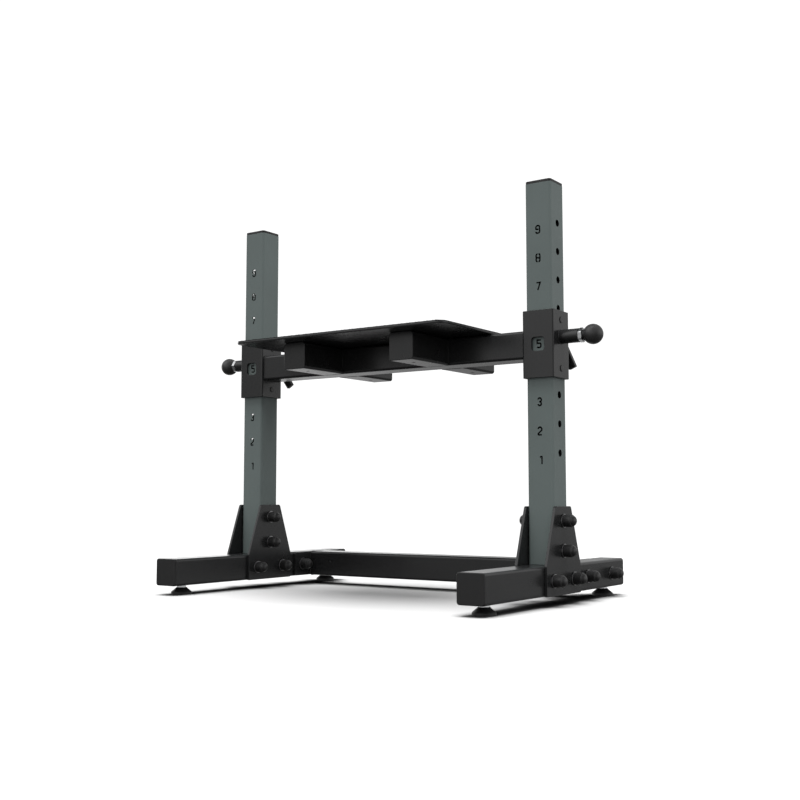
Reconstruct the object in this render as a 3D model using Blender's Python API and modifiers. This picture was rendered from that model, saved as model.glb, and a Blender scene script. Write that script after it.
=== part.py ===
"""Adjustable step-up platform: a steel deck on a carriage that slides on two
numbered uprights and is held by two spring pull pins and two clamp levers.

Frame: metres, +Z up, floor at Z = 0. X runs from the left upright to the right
one, -Y is the front (the digits read from there). The origin is the centre of
the footprint on the floor.
"""

import math

import bmesh
import bpy
from mathutils import Matrix

# ------------------------------------------------------------------ dimensions
GAP = 0.0003             # clearance between pieces that touch

TUBE = 0.060             # square tube used everywhere
WALL = 0.003
TUBE_R = 0.006           # outer corner radius of the tube
UPRIGHT_X = 0.396        # centre of each upright from the middle plane
FLOOR_GAP = 0.021        # underside of the base tubes above the floor
FOOT_HALF = 0.308        # half length of a base tube over its end caps
CAP_T = 0.0035           # flange of a plastic end cap
TOP_CAP_T = 0.0050       # flange of an upright's cap
UPRIGHT_TOP = 0.8732     # end of the upright tube, under its cap

PITCH = 0.060            # height step
HOLE_5 = 0.548           # pin axis at position 5, the position shown
HOLE_D = 0.015
DIGIT_DROP = 0.0150      # a digit sits this far under its hole
DIGIT_W, DIGIT_H, STROKE = 0.0086, 0.0156, 0.0024
POSITIONS = range(1, 10)

PLATE_T = 0.006          # gussets, flanges and deck plate
GUSSET_FOOT, GUSSET_NECK = 0.0755, 0.0340  # half widths
GUSSET_KNEE, GUSSET_TOP = 0.081, 0.1995    # heights of the knee and the top
BOLT_D, BOLT_HOLE = 0.012, 0.0128
WASHER_R, WASHER_T = 0.0142, 0.0022
COVER_R, COVER_H = 0.0126, 0.0255          # domed bolt cover over its washer
UPRIGHT_BOLT_Z = (0.1095, 0.1700)
BASE_BOLT_Z = 0.051
GUSSET_BOLT_Y = (-0.045, 0.045)
BAR_Y = 0.183            # rear crossbar
FLANGE_BOLT_Y = (BAR_Y - 0.060, BAR_Y + 0.060)
FLANGE_HALF = 0.088

LEVEL_Y = 0.2588         # levelling feet from the middle
PAD_R = 0.023

COLLAR = 0.072
COLLAR_WALL = 0.004
COLLAR_Z = (0.4624, 0.603)
WINDOW = (0.0294, 0.0285, 0.0065, 0.5325)   # width, height, corner, centre height
PLUG_Z = (0.4825, 0.5835)                  # liner studs in the collar sides
BEAM_Z = (0.503, 0.563)
ARM_X = 0.145
ARM_END = 0.169
DECK = (0.5615, 0.4405, 0.020)             # width, depth, corner radius
MAT_T = 0.0024
SCREW_Y = 0.120

BARREL = (0.0363, 0.0787)                  # from the upright's centre, outwards
BARREL_R, BARREL_BORE = 0.0146, 0.0088
HEX_AF, HEX_END = 0.027, 0.0874
HEX_TURN = {"left": math.radians(-2), "right": math.radians(-20)}
BALL_R, BALL_X = 0.0209, 0.1076
ROD_R = 0.004
PIN_R = 0.0070
PIN_NOSE = 0.0306        # nose stops short of the upright face at 0.030
PIN_SHOULDER = (0.0445, 0.0475)

LEVER_Z = 0.556
LEVER_LEN = 0.0724
LEVER_TILT = math.radians(5)
LEVER_TURN = {"left": math.radians(32), "right": math.radians(23.5)}
BOSS_END = 0.050

SIDES = (("left", -1), ("right", 1))

# ------------------------------------------------------------------ scene
for obj in list(bpy.data.objects):
    bpy.data.objects.remove(obj, do_unlink=True)
scene = bpy.context.scene
parts = bpy.data.collections.new("adjustable_step_up_platform")
cutters = bpy.data.collections.new("cutters")
cutters.hide_render = True
scene.collection.children.link(parts)
scene.collection.children.link(cutters)

BLACK = ((0.028, 0.028, 0.029), 0.45, 0.0)
GREY = ((0.115, 0.133, 0.131), 0.45, 0.0)
PLASTIC = ((0.020, 0.020, 0.021), 0.50, 0.0)
RUBBER = ((0.012, 0.012, 0.012), 0.85, 0.0)
KNOB = ((0.018, 0.018, 0.019), 0.25, 0.0)
ZINC = ((0.62, 0.63, 0.64), 0.30, 1.0)
SPRING = ((0.50, 0.50, 0.50), 0.30, 1.0)
GLIDE = ((0.022, 0.022, 0.023), 0.50, 0.0)


def finish(obj, look):
    """Gives the object its own material and its place in the parts collection."""
    colour, roughness, metallic = look
    mat = bpy.data.materials.new(obj.name)
    mat.use_nodes = True
    shader = mat.node_tree.nodes["Principled BSDF"]
    shader.inputs["Base Color"].default_value = (*colour, 1.0)
    shader.inputs["Roughness"].default_value = roughness
    shader.inputs["Metallic"].default_value = metallic
    mat.diffuse_color = (*colour, 1.0)
    obj.data.materials.clear()
    obj.data.materials.append(mat)
    return obj


def place(obj, collection, location, rotation):
    obj.location = location
    obj.rotation_euler = rotation
    collection.objects.link(obj)
    if collection is cutters:
        obj.hide_render = True
        obj.display_type = "WIRE"
    return obj


def as_mesh(obj, name, collection, location, rotation, angle=35):
    """Turns a curve or a modified object into a plain welded mesh object."""
    scene.collection.objects.link(obj)
    bpy.context.view_layer.update()
    graph = bpy.context.evaluated_depsgraph_get()
    mesh = bpy.data.meshes.new_from_object(obj.evaluated_get(graph))
    bpy.data.objects.remove(obj, do_unlink=True)
    bm = bmesh.new()
    bm.from_mesh(mesh)
    bmesh.ops.remove_doubles(bm, verts=bm.verts, dist=1e-6)
    bmesh.ops.dissolve_degenerate(bm, edges=bm.edges, dist=1e-7)
    bmesh.ops.recalc_face_normals(bm, faces=bm.faces)
    bm.to_mesh(mesh)
    bm.free()
    mesh.shade_smooth()
    mesh.set_sharp_from_angle(angle=math.radians(angle))
    mesh.name = name
    return place(bpy.data.objects.new(name, mesh), collection, location, rotation)


TURN = {                 # an outline lies in the plane across this direction
    "X": (math.pi / 2, 0.0, math.pi / 2),   # outline (y, z)
    "Y": (math.pi / 2, 0.0, 0.0),           # outline (x, z)
    "Z": (0.0, 0.0, 0.0),                   # outline (x, y)
}


def slab(name, loops, depth, centre, across, collection=parts):
    """A flat outline, with its holes, extruded to a thickness."""
    curve = bpy.data.curves.new(name, "CURVE")
    curve.dimensions = "2D"
    curve.fill_mode = "BOTH"
    curve.extrude = depth / 2
    for loop in loops:
        spline = curve.splines.new("POLY")
        spline.points.add(len(loop) - 1)
        for point, (u, v) in zip(spline.points, loop):
            point.co = (u, v, 0.0, 1.0)
        spline.use_cyclic_u = True
    return as_mesh(bpy.data.objects.new(name, curve), name, collection, centre, TURN[across])


AIM = {                  # a turned profile's own +Z points this way
    "+X": (0.0, math.pi / 2, 0.0),
    "-X": (0.0, -math.pi / 2, 0.0),
    "+Y": (-math.pi / 2, 0.0, 0.0),
    "+Z": (0.0, 0.0, 0.0),
}


def turned(name, profile, centre, aim, steps=16, closed=False, collection=parts):
    """A profile (radius, height), down its outer side, turned round its axis."""
    mesh = bpy.data.meshes.new(name)
    bm = bmesh.new()
    verts = [bm.verts.new((r, 0.0, h)) for r, h in profile]
    for a, b in zip(verts, verts[1:] + (verts[:1] if closed else [])):
        bm.edges.new((a, b))
    bm.to_mesh(mesh)
    bm.free()
    obj = bpy.data.objects.new(name, mesh)
    screw = obj.modifiers.new("turn", "SCREW")
    screw.axis = "Z"
    screw.steps = screw.render_steps = steps
    screw.use_merge_vertices = True
    screw.merge_threshold = 0.00001
    return as_mesh(obj, name, collection, centre, AIM[aim])


def bar(name, size, radius, centre, along, collection=parts, wall=0.0, segments=3):
    """A square bar with rounded long edges, or a square tube where wall is given."""
    axis = "XYZ".index(along)
    mesh = bpy.data.meshes.new(name)
    bm = bmesh.new()
    bmesh.ops.create_cube(bm, size=1.0)
    bmesh.ops.scale(bm, vec=size, verts=bm.verts)
    long_edges = [e for e in bm.edges if abs((e.verts[0].co - e.verts[1].co).normalized()[axis]) > 0.9]
    bmesh.ops.bevel(bm, geom=long_edges, offset=radius, segments=segments,
                    affect="EDGES", profile=0.5)
    if wall:
        ends = [f for f in bm.faces if abs(f.normal[axis]) > 0.9]
        bmesh.ops.delete(bm, geom=ends, context="FACES_ONLY")
    bm.to_mesh(mesh)
    bm.free()
    mesh.shade_smooth()
    mesh.set_sharp_from_angle(angle=math.radians(35))
    obj = bpy.data.objects.new(name, mesh)
    if wall:
        shell = obj.modifiers.new("wall", "SOLIDIFY")
        shell.thickness = wall
        shell.offset = -1.0
        shell.use_even_offset = True
    return place(obj, collection, centre, (0, 0, 0))


def together(name, tools):
    """Makes one cutter of several that stand apart."""
    bm = bmesh.new()
    for tool in tools:
        mesh = tool.data.copy()
        mesh.transform(Matrix.LocRotScale(tool.location, tool.rotation_euler, None))
        bm.from_mesh(mesh)
        bpy.data.meshes.remove(mesh)
        bpy.data.objects.remove(tool, do_unlink=True)
    mesh = bpy.data.meshes.new(name)
    bm.to_mesh(mesh)
    bm.free()
    return place(bpy.data.objects.new(name, mesh), cutters, (0, 0, 0), (0, 0, 0))


def combine(obj, tools, operation, label):
    mod = obj.modifiers.new(label, "BOOLEAN")
    mod.operation = operation
    mod.solver = "EXACT"
    mod.object = tools[0] if len(tools) == 1 else together(f"{label}_{obj.name}", tools)


def cut(obj, *tools):
    combine(obj, tools, "DIFFERENCE", "cut")


def join_to(obj, *tools):
    combine(obj, tools, "UNION", "add")


def rounded(w, h, r, n=3, cx=0.0, cy=0.0):
    """Outline of a rectangle with rounded corners."""
    loop = []
    for k, (sx, sy) in enumerate(((1, 1), (-1, 1), (-1, -1), (1, -1))):
        for i in range(n + 1):
            a = math.pi / 2 * (k + i / n)
            loop.append((cx + sx * (w / 2 - r) + r * math.cos(a),
                         cy + sy * (h / 2 - r) + r * math.sin(a)))
    return loop


def ring(r, n=12, cx=0.0, cy=0.0):
    return [(cx + r * math.cos(2 * math.pi * i / n),
             cy + r * math.sin(2 * math.pi * i / n)) for i in range(n)]


def soften(points, radii, n=2):
    """Rounds the corners of a polygon, each by its own radius."""
    out = []
    count = len(points)
    for i, (p, r) in enumerate(zip(points, radii)):
        a, b = points[i - 1], points[(i + 1) % count]
        if r <= 0:
            out.append(p)
            continue
        ua = (a[0] - p[0], a[1] - p[1])
        ub = (b[0] - p[0], b[1] - p[1])
        la, lb = math.hypot(*ua), math.hypot(*ub)
        ua, ub = (ua[0] / la, ua[1] / la), (ub[0] / lb, ub[1] / lb)
        half = math.acos(max(-1.0, min(1.0, ua[0] * ub[0] + ua[1] * ub[1]))) / 2
        reach = r / math.tan(half)
        start = (p[0] + ua[0] * reach, p[1] + ua[1] * reach)
        end = (p[0] + ub[0] * reach, p[1] + ub[1] * reach)
        mid = (ua[0] + ub[0], ua[1] + ub[1])
        lm = math.hypot(*mid)
        c = (p[0] + mid[0] / lm * r / math.sin(half), p[1] + mid[1] / lm * r / math.sin(half))
        t0 = math.atan2(start[1] - c[1], start[0] - c[0])
        t1 = math.atan2(end[1] - c[1], end[0] - c[0])
        sweep = (t1 - t0 + math.pi) % (2 * math.pi) - math.pi
        out += [(c[0] + r * math.cos(t0 + sweep * k / n), c[1] + r * math.sin(t0 + sweep * k / n))
                for k in range(n + 1)]
    return out


def drill(name, d, length, centre, aim, steps=12):
    """A cylinder along the aim direction, centred there, that cuts a round hole."""
    h = length / 2
    return turned(name, [(0, h), (d / 2, h), (d / 2, -h), (0, -h)], centre, aim,
                  steps=steps, collection=cutters)


# ------------------------------------------------------------------ moving groups
def pivot(name, location, parent=None, rotation=(0, 0, 0)):
    empty = bpy.data.objects.new(name, None)
    empty.empty_display_size = 0.03
    empty.rotation_euler = rotation
    parts.objects.link(empty)
    if parent:
        empty.parent = parent
        base = parent.location
        empty.location = [a - b for a, b in zip(location, base)]
    else:
        empty.location = location
    return empty


def ride(obj, empty, world):
    """Parents the piece to an unrotated empty whose world position is given."""
    obj.parent = empty
    obj.location = [a - b for a, b in zip(obj.location, world)]


CARRIAGE_AT = (0.0, 0.0, HOLE_5)
carriage = pivot("carriage_height_axis", CARRIAGE_AT)

# ------------------------------------------------------------------ digits
def stroke(path, width):
    """Outline of a pen stroke of constant width along an open path."""
    left, right = [], []
    for i, p in enumerate(path):
        if i in (0, len(path) - 1):
            a, b = (path[0], path[1]) if i == 0 else (path[-2], path[-1])
            dx, dy = b[0] - a[0], b[1] - a[1]
            l = math.hypot(dx, dy)
            nx, ny, k = -dy / l, dx / l, 1.0
        else:
            (ax, ay), (bx, by) = path[i - 1], path[i + 1]
            ux, uy = p[0] - ax, p[1] - ay
            vx, vy = bx - p[0], by - p[1]
            lu, lv = math.hypot(ux, uy), math.hypot(vx, vy)
            n1, n2 = (-uy / lu, ux / lu), (-vy / lv, vx / lv)
            nx, ny = n1[0] + n2[0], n1[1] + n2[1]
            l = math.hypot(nx, ny)
            nx, ny = nx / l, ny / l
            k = 1.0 / (nx * n1[0] + ny * n1[1])
        left.append((p[0] + nx * k * width / 2, p[1] + ny * k * width / 2))
        right.append((p[0] - nx * k * width / 2, p[1] - ny * k * width / 2))
    return left + right[::-1]


W, H = DIGIT_W / 2, DIGIT_H / 2          # centre lines of the outer strokes
B = 0.0022                               # bridge that keeps an island in place
I = W - STROKE / 2 - B                   # end of a stroke that stops at a bridge
DIGITS = {
    1: [[(-W * 0.55, H * 0.62), (W * 0.15, H), (W * 0.15, -H)]],
    2: [[(-W, H), (W, H), (W, 0), (-W, 0), (-W, -H), (W, -H)]],
    3: [[(-W, H), (W, H), (W, -H), (-W, -H)], [(-W * 0.6, 0), (I, 0)]],
    4: [[(-W, H), (-W, 0), (I, 0)], [(W, H), (W, -H)]],
    5: [[(W, H), (-W, H), (-W, 0), (W, 0), (W, -H), (-W, -H)]],
    6: [[(W, H), (-W, H), (-W, -H), (W, -H), (W, 0), (-I, 0)]],
    7: [[(-W, H), (W, H), (-W * 0.1, -H)]],
    8: [[(-B / 2, H), (-W, H), (-W, -H), (-B / 2, -H)],
        [(B / 2 + STROKE * 0.2, H), (W, H), (W, -H), (B / 2 + STROKE * 0.2, -H)],
        [(-I, 0), (I, 0)]],
    9: [[(-W, -H), (W, -H), (W, H), (-W, H), (-W, 0), (I, 0)]],
}


def digit_loops(n, cz):
    loops = []
    for path in DIGITS[n]:
        loops.append([(u, v + cz) for u, v in stroke(path, STROKE)])
    return loops


# ------------------------------------------------------------------ base frame
def bolt(name, side_x, y, z, inner, outer, s):
    """A through bolt with its washers and domed covers, from the inner face
    at side_x - s*inner to the outer face at side_x + s*outer."""
    def end(face, sign):
        top = face + WASHER_T + COVER_H
        r = COVER_R
        shape = [(0.0, top), (0.46 * r, top - 0.0010), (0.72 * r, top - 0.0037),
                 (0.84 * r, top - 0.0076), (0.92 * r, top - 0.0080), (r, top - 0.0095), (r, face + WASHER_T), (WASHER_R, face + WASHER_T),
                 (WASHER_R, face)]
        return shape if sign > 0 else [(a, -b) for a, b in reversed(shape)]
    profile = end(outer + 2 * GAP, 1) + [(BOLT_D / 2, outer + 2 * GAP),
                                         (BOLT_D / 2, -(inner + 2 * GAP))] + end(inner + 2 * GAP, -1)
    obj = turned(name, profile, (side_x, y, z), "+X" if s > 0 else "-X", steps=12)
    return finish(obj, PLASTIC)


def base_side(side, s):
    x = s * UPRIGHT_X
    zc = FLOOR_GAP + TUBE / 2
    # base tube with its holes
    foot = finish(bar(f"foot_tube_{side}", (TUBE, 2 * (FOOT_HALF - CAP_T - GAP), TUBE), TUBE_R,
                      (x, 0, zc), "Y", wall=WALL), BLACK)
    cut(foot,
        *[drill(f"bolt_hole_{y:.3f}", BOLT_HOLE, 0.09, (x, y, BASE_BOLT_Z), "+X")
          for y in (*GUSSET_BOLT_Y, *FLANGE_BOLT_Y)],
        *[drill(f"level_hole_{y:.3f}", 0.0108, 0.02, (x, y, FLOOR_GAP), "+Z")
          for y in (-LEVEL_Y, LEVEL_Y)])
    # end caps
    for tag, t in (("front", -1), ("rear", 1)):
        cap = finish(bar(f"foot_cap_{tag}_{side}", (TUBE, CAP_T, TUBE), TUBE_R,
                         (x, t * (FOOT_HALF - CAP_T / 2), zc), "Y"), PLASTIC)
        inside = TUBE - 2 * WALL - 2 * GAP
        join_to(cap, bar(f"plug_{tag}_{side}", (inside, 0.014, inside), 0.0027,
                         (x, t * (FOOT_HALF - CAP_T - 0.006), zc), "Y", collection=cutters,
                         segments=1))
    # upright
    z0, z1 = FLOOR_GAP + TUBE + GAP, UPRIGHT_TOP
    post = finish(bar(f"upright_{side}", (TUBE, TUBE, z1 - z0), TUBE_R,
                      (x, 0, (z0 + z1) / 2), "Z", wall=WALL), GREY)
    marks = [loop for n in POSITIONS for loop in digit_loops(n, (n - 5) * PITCH)]
    cut(post,
        *[drill(f"pin_hole_{n}", HOLE_D, 0.012,
                (x + s * (TUBE / 2 - WALL / 2), 0, HOLE_5 + (n - 5) * PITCH), "+X")
          for n in POSITIONS],
        slab(f"digits_{side}", marks, 0.02, (x, -TUBE / 2, HOLE_5 - DIGIT_DROP), "Y", collection=cutters),
        *[drill(f"bolt_hole_{z:.3f}", BOLT_HOLE, 0.09, (x, 0, z), "+X") for z in UPRIGHT_BOLT_Z])
    top = finish(bar(f"upright_cap_{side}", (TUBE - 0.0006, TUBE - 0.0006, TOP_CAP_T), TUBE_R,
                     (x, 0, z1 + GAP + TOP_CAP_T / 2), "Z"), PLASTIC)
    join_to(top, bar(f"top_plug_{side}", (inside, inside, 0.014), 0.0027, (x, 0, z1 - 0.006), "Z",
                     collection=cutters, segments=1))
    # gusset plates, one each side of the upright
    edge = [(-GUSSET_FOOT, FLOOR_GAP), (GUSSET_FOOT, FLOOR_GAP), (GUSSET_FOOT, GUSSET_KNEE),
            (GUSSET_NECK, GUSSET_TOP), (-GUSSET_NECK, GUSSET_TOP), (-GUSSET_FOOT, GUSSET_KNEE)]
    shape = soften(edge, (0.002, 0.002, 0.006, 0.006, 0.006, 0.006))
    holes = [ring(BOLT_HOLE / 2, 12, y, BASE_BOLT_Z) for y in GUSSET_BOLT_Y]
    holes += [ring(BOLT_HOLE / 2, 12, 0.0, z) for z in UPRIGHT_BOLT_Z]
    for tag, t in (("outer", s), ("inner", -s)):
        finish(slab(f"gusset_{tag}_{side}", [shape, *holes], PLATE_T,
                    (x + t * (TUBE / 2 + GAP + PLATE_T / 2), 0, 0), "X"), BLACK)
    # crossbar flange on the inner side of the base tube
    flange = rounded(2 * FLANGE_HALF, TUBE - 0.002, 0.006, 3, BAR_Y, zc)
    holes = [ring(BOLT_HOLE / 2, 12, y, BASE_BOLT_Z) for y in FLANGE_BOLT_Y]
    finish(slab(f"crossbar_flange_{side}", [flange, *holes], PLATE_T,
                (x - s * (TUBE / 2 + GAP + PLATE_T / 2), 0, 0), "X"), BLACK)
    # bolts
    wide = TUBE / 2 + PLATE_T
    for tag, z in zip(("lower", "upper"), UPRIGHT_BOLT_Z):
        bolt(f"upright_bolt_{tag}_{side}", x, 0, z, wide, wide, s)
    for tag, y in zip(("front", "rear"), GUSSET_BOLT_Y):
        bolt(f"gusset_bolt_{tag}_{side}", x, y, BASE_BOLT_Z, wide, wide, s)
    for tag, y in zip(("front", "rear"), FLANGE_BOLT_Y):
        bolt(f"crossbar_bolt_{tag}_{side}", x, y, BASE_BOLT_Z, wide, TUBE / 2 - GAP, s)
    # levelling feet, threaded into the base tube
    for tag, y in (("front", -LEVEL_Y), ("rear", LEVEL_Y)):
        at = (x, y, FLOOR_GAP)
        empty = pivot(f"levelling_axis_{tag}_{side}", at)
        profile = [(0, 0.058), (0.0042, 0.058), (0.005, 0.057), (0.005, 0.0205), (0.0114, 0.0205),
                   (0.0114, 0.0154), (0.0118, 0.0150), (0.0218, 0.0067),
                   (PAD_R, 0.0055), (PAD_R, 0.0008), (0.0222, 0.0), (0, 0.0)]
        pad = turned(f"levelling_foot_{tag}_{side}", profile, (x, y, 0), "+Z", steps=16)
        ride(finish(pad, RUBBER), empty, at)


for side, s in SIDES:
    base_side(side, s)

bar_half = UPRIGHT_X - TUBE / 2 - PLATE_T - 2 * GAP
finish(bar("rear_crossbar", (2 * bar_half, TUBE, TUBE), TUBE_R,
           (0, BAR_Y, FLOOR_GAP + TUBE / 2), "X", wall=WALL), BLACK)

# ------------------------------------------------------------------ carriage
def carriage_side(side, s):
    x = s * UPRIGHT_X
    z0, z1 = COLLAR_Z
    zc, h = (z0 + z1) / 2, z1 - z0
    width, height, corner, wz = WINDOW
    lever_at = (x, 0, LEVER_Z)

    collar = finish(bar(f"collar_{side}", (COLLAR, COLLAR, h), 0.0045, (x, 0, zc), "Z",
                        wall=COLLAR_WALL, segments=2), BLACK)
    boss_from = COLLAR / 2 - 0.001
    join_to(collar, drill(f"boss_{side}", 0.026, BOSS_END - boss_from,
                          (x, (BOSS_END + boss_from) / 2, LEVER_Z), "+Y", steps=16))
    inner, outer = 2 * (TUBE / 2 + 0.0004), COLLAR - 2 * COLLAR_WALL - 2 * GAP
    liner = finish(bar(f"collar_liner_{side}", (outer, outer, h - 0.004), 0.0030, (x, 0, zc), "Z",
                       wall=(outer - inner) / 2, segments=2), GLIDE)
    join_to(liner, *[drill(f"stud_{z:.3f}_{t}", 0.0130, 0.0065,
                           (x + t * (TUBE / 2 + 0.00425), 0, z), "+X")
                     for z in PLUG_Z for t in (-1, 1)])
    for obj, plugged in ((collar, True), (liner, False)):
        tools = [bar(f"window_{side}", (width, 0.02, height), corner, (x, -COLLAR / 2, wz), "Y",
                     collection=cutters),
                 drill(f"pin_hole_{side}", 2 * PIN_R + 0.0012, 0.02,
                       (x + s * COLLAR / 2, 0, HOLE_5), "+X"),
                 drill(f"stud_hole_{side}", 0.0126, 0.05, (x, COLLAR / 2 + 0.005, LEVER_Z), "+Y")]
        if plugged:
            tools += [drill(f"plug_hole_{z:.3f}", 0.0136, 0.10, (x, 0, z), "+X") for z in PLUG_Z]
        cut(obj, *tools)

    for obj in (collar, liner):
        ride(obj, carriage, CARRIAGE_AT)

    # spring pull pin, all turned about one axis through hole 5
    aim = "+X" if s > 0 else "-X"
    at = (x, 0, HOLE_5)
    a, b = BARREL
    barrel = finish(turned(f"pin_barrel_{side}",
                           [(BARREL_BORE, b), (BARREL_R - 0.0006, b), (BARREL_R, b - 0.0006),
                            (BARREL_R, a), (BARREL_BORE, a)],
                           at, aim, steps=20, closed=True), BLACK)
    ride(barrel, carriage, CARRIAGE_AT)

    # hex plug screwed into the barrel: six-sided head, round spigot, bored for the rod
    spin = HEX_TURN[side]
    flat = [((HEX_AF / math.sqrt(3)) * math.cos(spin + math.pi + k * math.pi / 3),
             (HEX_AF / math.sqrt(3)) * math.sin(spin + math.pi + k * math.pi / 3)) for k in range(6)]
    head0, head1 = b + GAP, HEX_END
    plug = finish(slab(f"pin_hex_plug_{side}", [flat], head1 - head0,
                       (x + s * (head0 + head1) / 2, 0, HOLE_5), "X"), ZINC)
    spigot_r, spigot_end = BARREL_BORE - 0.0003, head0 - 0.0035
    join_to(plug, turned(f"spigot_{side}",
                         [(0, head0 + 0.001), (spigot_r, head0 + 0.001), (spigot_r, spigot_end),
                          (0, spigot_end)], at, aim, steps=16, collection=cutters))
    cut(plug, drill(f"rod_hole_{side}", 2 * (ROD_R + 0.0004), 0.04,
                    (x + s * (head0 + head1) / 2, 0, HOLE_5), "+X"))
    ride(plug, carriage, CARRIAGE_AT)

    pull = pivot(f"pull_pin_axis_{side}", at, parent=carriage)
    s0, s1 = PIN_SHOULDER
    plunger = finish(turned(f"pin_plunger_{side}",
                            [(0, BALL_X - 0.001), (ROD_R, BALL_X - 0.001), (ROD_R, s1),
                             (BARREL_BORE - 0.0004, s1), (BARREL_BORE - 0.0004, s0),
                             (PIN_R, s0), (PIN_R, PIN_NOSE + 0.0012), (PIN_R - 0.0012, PIN_NOSE),
                             (0, PIN_NOSE)], at, aim, steps=16), ZINC)
    n = 9
    start = math.asin(0.0113 / BALL_R)
    arc = [(BALL_R * math.sin(start + (math.pi - start) * (1 - i / n)),
            BALL_X - BALL_R * math.cos(start + (math.pi - start) * (1 - i / n))) for i in range(1, n + 1)]
    neck0 = HEX_END + 0.0004
    ball = finish(turned(f"ball_knob_{side}",
                         [(0, BALL_X + BALL_R)] + arc +
                         [(0.0110, neck0), (ROD_R + 0.0003, neck0),
                          (ROD_R + 0.0003, BALL_X + 0.0004), (0, BALL_X + 0.0004)],
                         at, aim, steps=20), KNOB)
    for obj in (plunger, ball):
        obj.parent = pull
        obj.location = (0, 0, 0)

    coils, per = 6, 8
    c0, c1 = s1 + 0.0011, head0 - 0.0035 - 0.0011
    curve = bpy.data.curves.new(f"pin_spring_{side}", "CURVE")
    curve.dimensions = "3D"
    curve.bevel_depth = 0.0007
    curve.bevel_resolution = 1
    curve.use_fill_caps = True
    spline = curve.splines.new("POLY")
    count = coils * per + 1
    spline.points.add(count - 1)
    for i, point in enumerate(spline.points):
        t = i / (count - 1)
        turn = 2 * math.pi * coils * t
        point.co = (0.0064 * math.cos(turn), 0.0064 * math.sin(turn), c0 + (c1 - c0) * t, 1.0)
    spring = as_mesh(bpy.data.objects.new(f"pin_spring_{side}", curve), f"pin_spring_{side}",
                     parts, at, AIM[aim])
    ride(finish(spring, SPRING), carriage, CARRIAGE_AT)

    # clamp lever: hub, arm and stud in one piece, turning about the stud
    hinge = pivot(f"clamp_lever_axis_{side}", lever_at, parent=carriage,
                  rotation=(0, -LEVER_TURN[side], 0))
    hub = turned(f"clamp_lever_{side}",
                 [(0, 0.0790), (0.0085, 0.0785), (0.0112, 0.0762), (0.0118, 0.0700),
                  (0.0132, 0.0560), (0.0132, BOSS_END + 0.0006), (0.0058, BOSS_END + 0.0006),
                  (0.0058, 0.0318), (0.0050, 0.0310), (0, 0.0310)],
                 (0, 0, 0), "+Y", steps=16)
    arm_shape = soften([(-0.0100, 0.004), (-0.0083, -LEVER_LEN), (0.0083, -LEVER_LEN), (0.0100, 0.004)],
                       (0.002, 0.0018, 0.0018, 0.002), n=3)
    arm = slab(f"add_arm_{side}", [arm_shape], 0.0106, (0, 0.0616, 0), "Y", collection=cutters)
    arm.rotation_euler = (math.pi / 2 + LEVER_TILT, 0, 0)
    join_to(hub, arm)
    finish(hub, PLASTIC)
    hub.parent = hinge
    arm.parent = hinge


for side, s in SIDES:
    carriage_side(side, s)

beam_half = UPRIGHT_X - COLLAR / 2 - GAP
beam_zc = (BEAM_Z[0] + BEAM_Z[1]) / 2
ride(finish(bar("carriage_crossbeam", (2 * beam_half, TUBE, TUBE), TUBE_R, (0, 0, beam_zc), "X",
                wall=WALL), BLACK), carriage, CARRIAGE_AT)

# four arms under the deck, butted on the crossbeam, closed by a welded end plate
for tag, t in (("front", -1), ("rear", 1)):
    for side, s in SIDES:
        y0, y1 = TUBE / 2 + GAP, ARM_END
        arm = finish(bar(f"deck_arm_{tag}_{side}", (TUBE, y1 - y0, TUBE), TUBE_R,
                         (s * ARM_X, t * (y0 + y1) / 2, beam_zc), "Y"), BLACK)
        inside = TUBE - 2 * WALL
        cut(arm, bar(f"arm_hollow_{tag}_{side}", (inside, y1 - y0, inside), TUBE_R - WALL,
                     (s * ARM_X, t * ((y0 + y1) / 2 - WALL), beam_zc), "Y", collection=cutters))
        cut(arm,
            drill(f"access_hole_{tag}_{side}", 0.009, 0.012, (s * ARM_X, t * SCREW_Y, BEAM_Z[0]), "+Z"),
            drill(f"screw_hole_{tag}_{side}", 0.0088, 0.012, (s * ARM_X, t * SCREW_Y, BEAM_Z[1]), "+Z"))
        ride(arm, carriage, CARRIAGE_AT)

# deck plate, its grip mat and four countersunk screws
dw, dd, dr = DECK
deck_z0 = BEAM_Z[1] + GAP
deck_z1 = deck_z0 + PLATE_T
deck = finish(bar("deck_plate", (dw, dd, PLATE_T), dr, (0, 0, (deck_z0 + deck_z1) / 2), "Z",
                  segments=5), BLACK)
mat_z0 = deck_z1 + GAP
holes = [ring(0.0105, 16, s * ARM_X, t * SCREW_Y) for s in (-1, 1) for t in (-1, 1)]
grip = finish(slab("deck_grip_mat", [rounded(dw - 0.0016, dd - 0.0016, dr - 0.0008, 5), *holes],
                   MAT_T, (0, 0, mat_z0 + MAT_T / 2), "Z"), RUBBER)
sinks = []
for tag, t in (("front", -1), ("rear", 1)):
    for side, s in SIDES:
        at = (s * ARM_X, t * SCREW_Y, deck_z1)
        sinks.append(turned(f"sink_{tag}_{side}",
                            [(0, 0.002), (0.0086, 0.002), (0.0086, 0.0), (0.0044, -0.0042),
                             (0.0044, -0.010), (0, -0.010)], at, "+Z", steps=12, collection=cutters))
        screw = finish(turned(f"deck_screw_{tag}_{side}",
                              [(0, -0.0023), (0.0025, -0.0023), (0.0025, -0.0004), (0.0080, -0.0004),
                               (0.0040, -0.0044), (0.0040, -0.0100), (0.0062, -0.0100),
                               (0.0062, -0.0165), (0.0040, -0.0165), (0.0040, -0.0180), (0, -0.0180)],
                              at, "+Z", steps=12), ZINC)
        ride(screw, carriage, CARRIAGE_AT)
cut(deck, *sinks)
for obj in (deck, grip):
    ride(obj, carriage, CARRIAGE_AT)

bpy.context.view_layer.update()
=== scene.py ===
import math
import random

import bmesh
import bpy
from mathutils import Matrix, Vector


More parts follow.
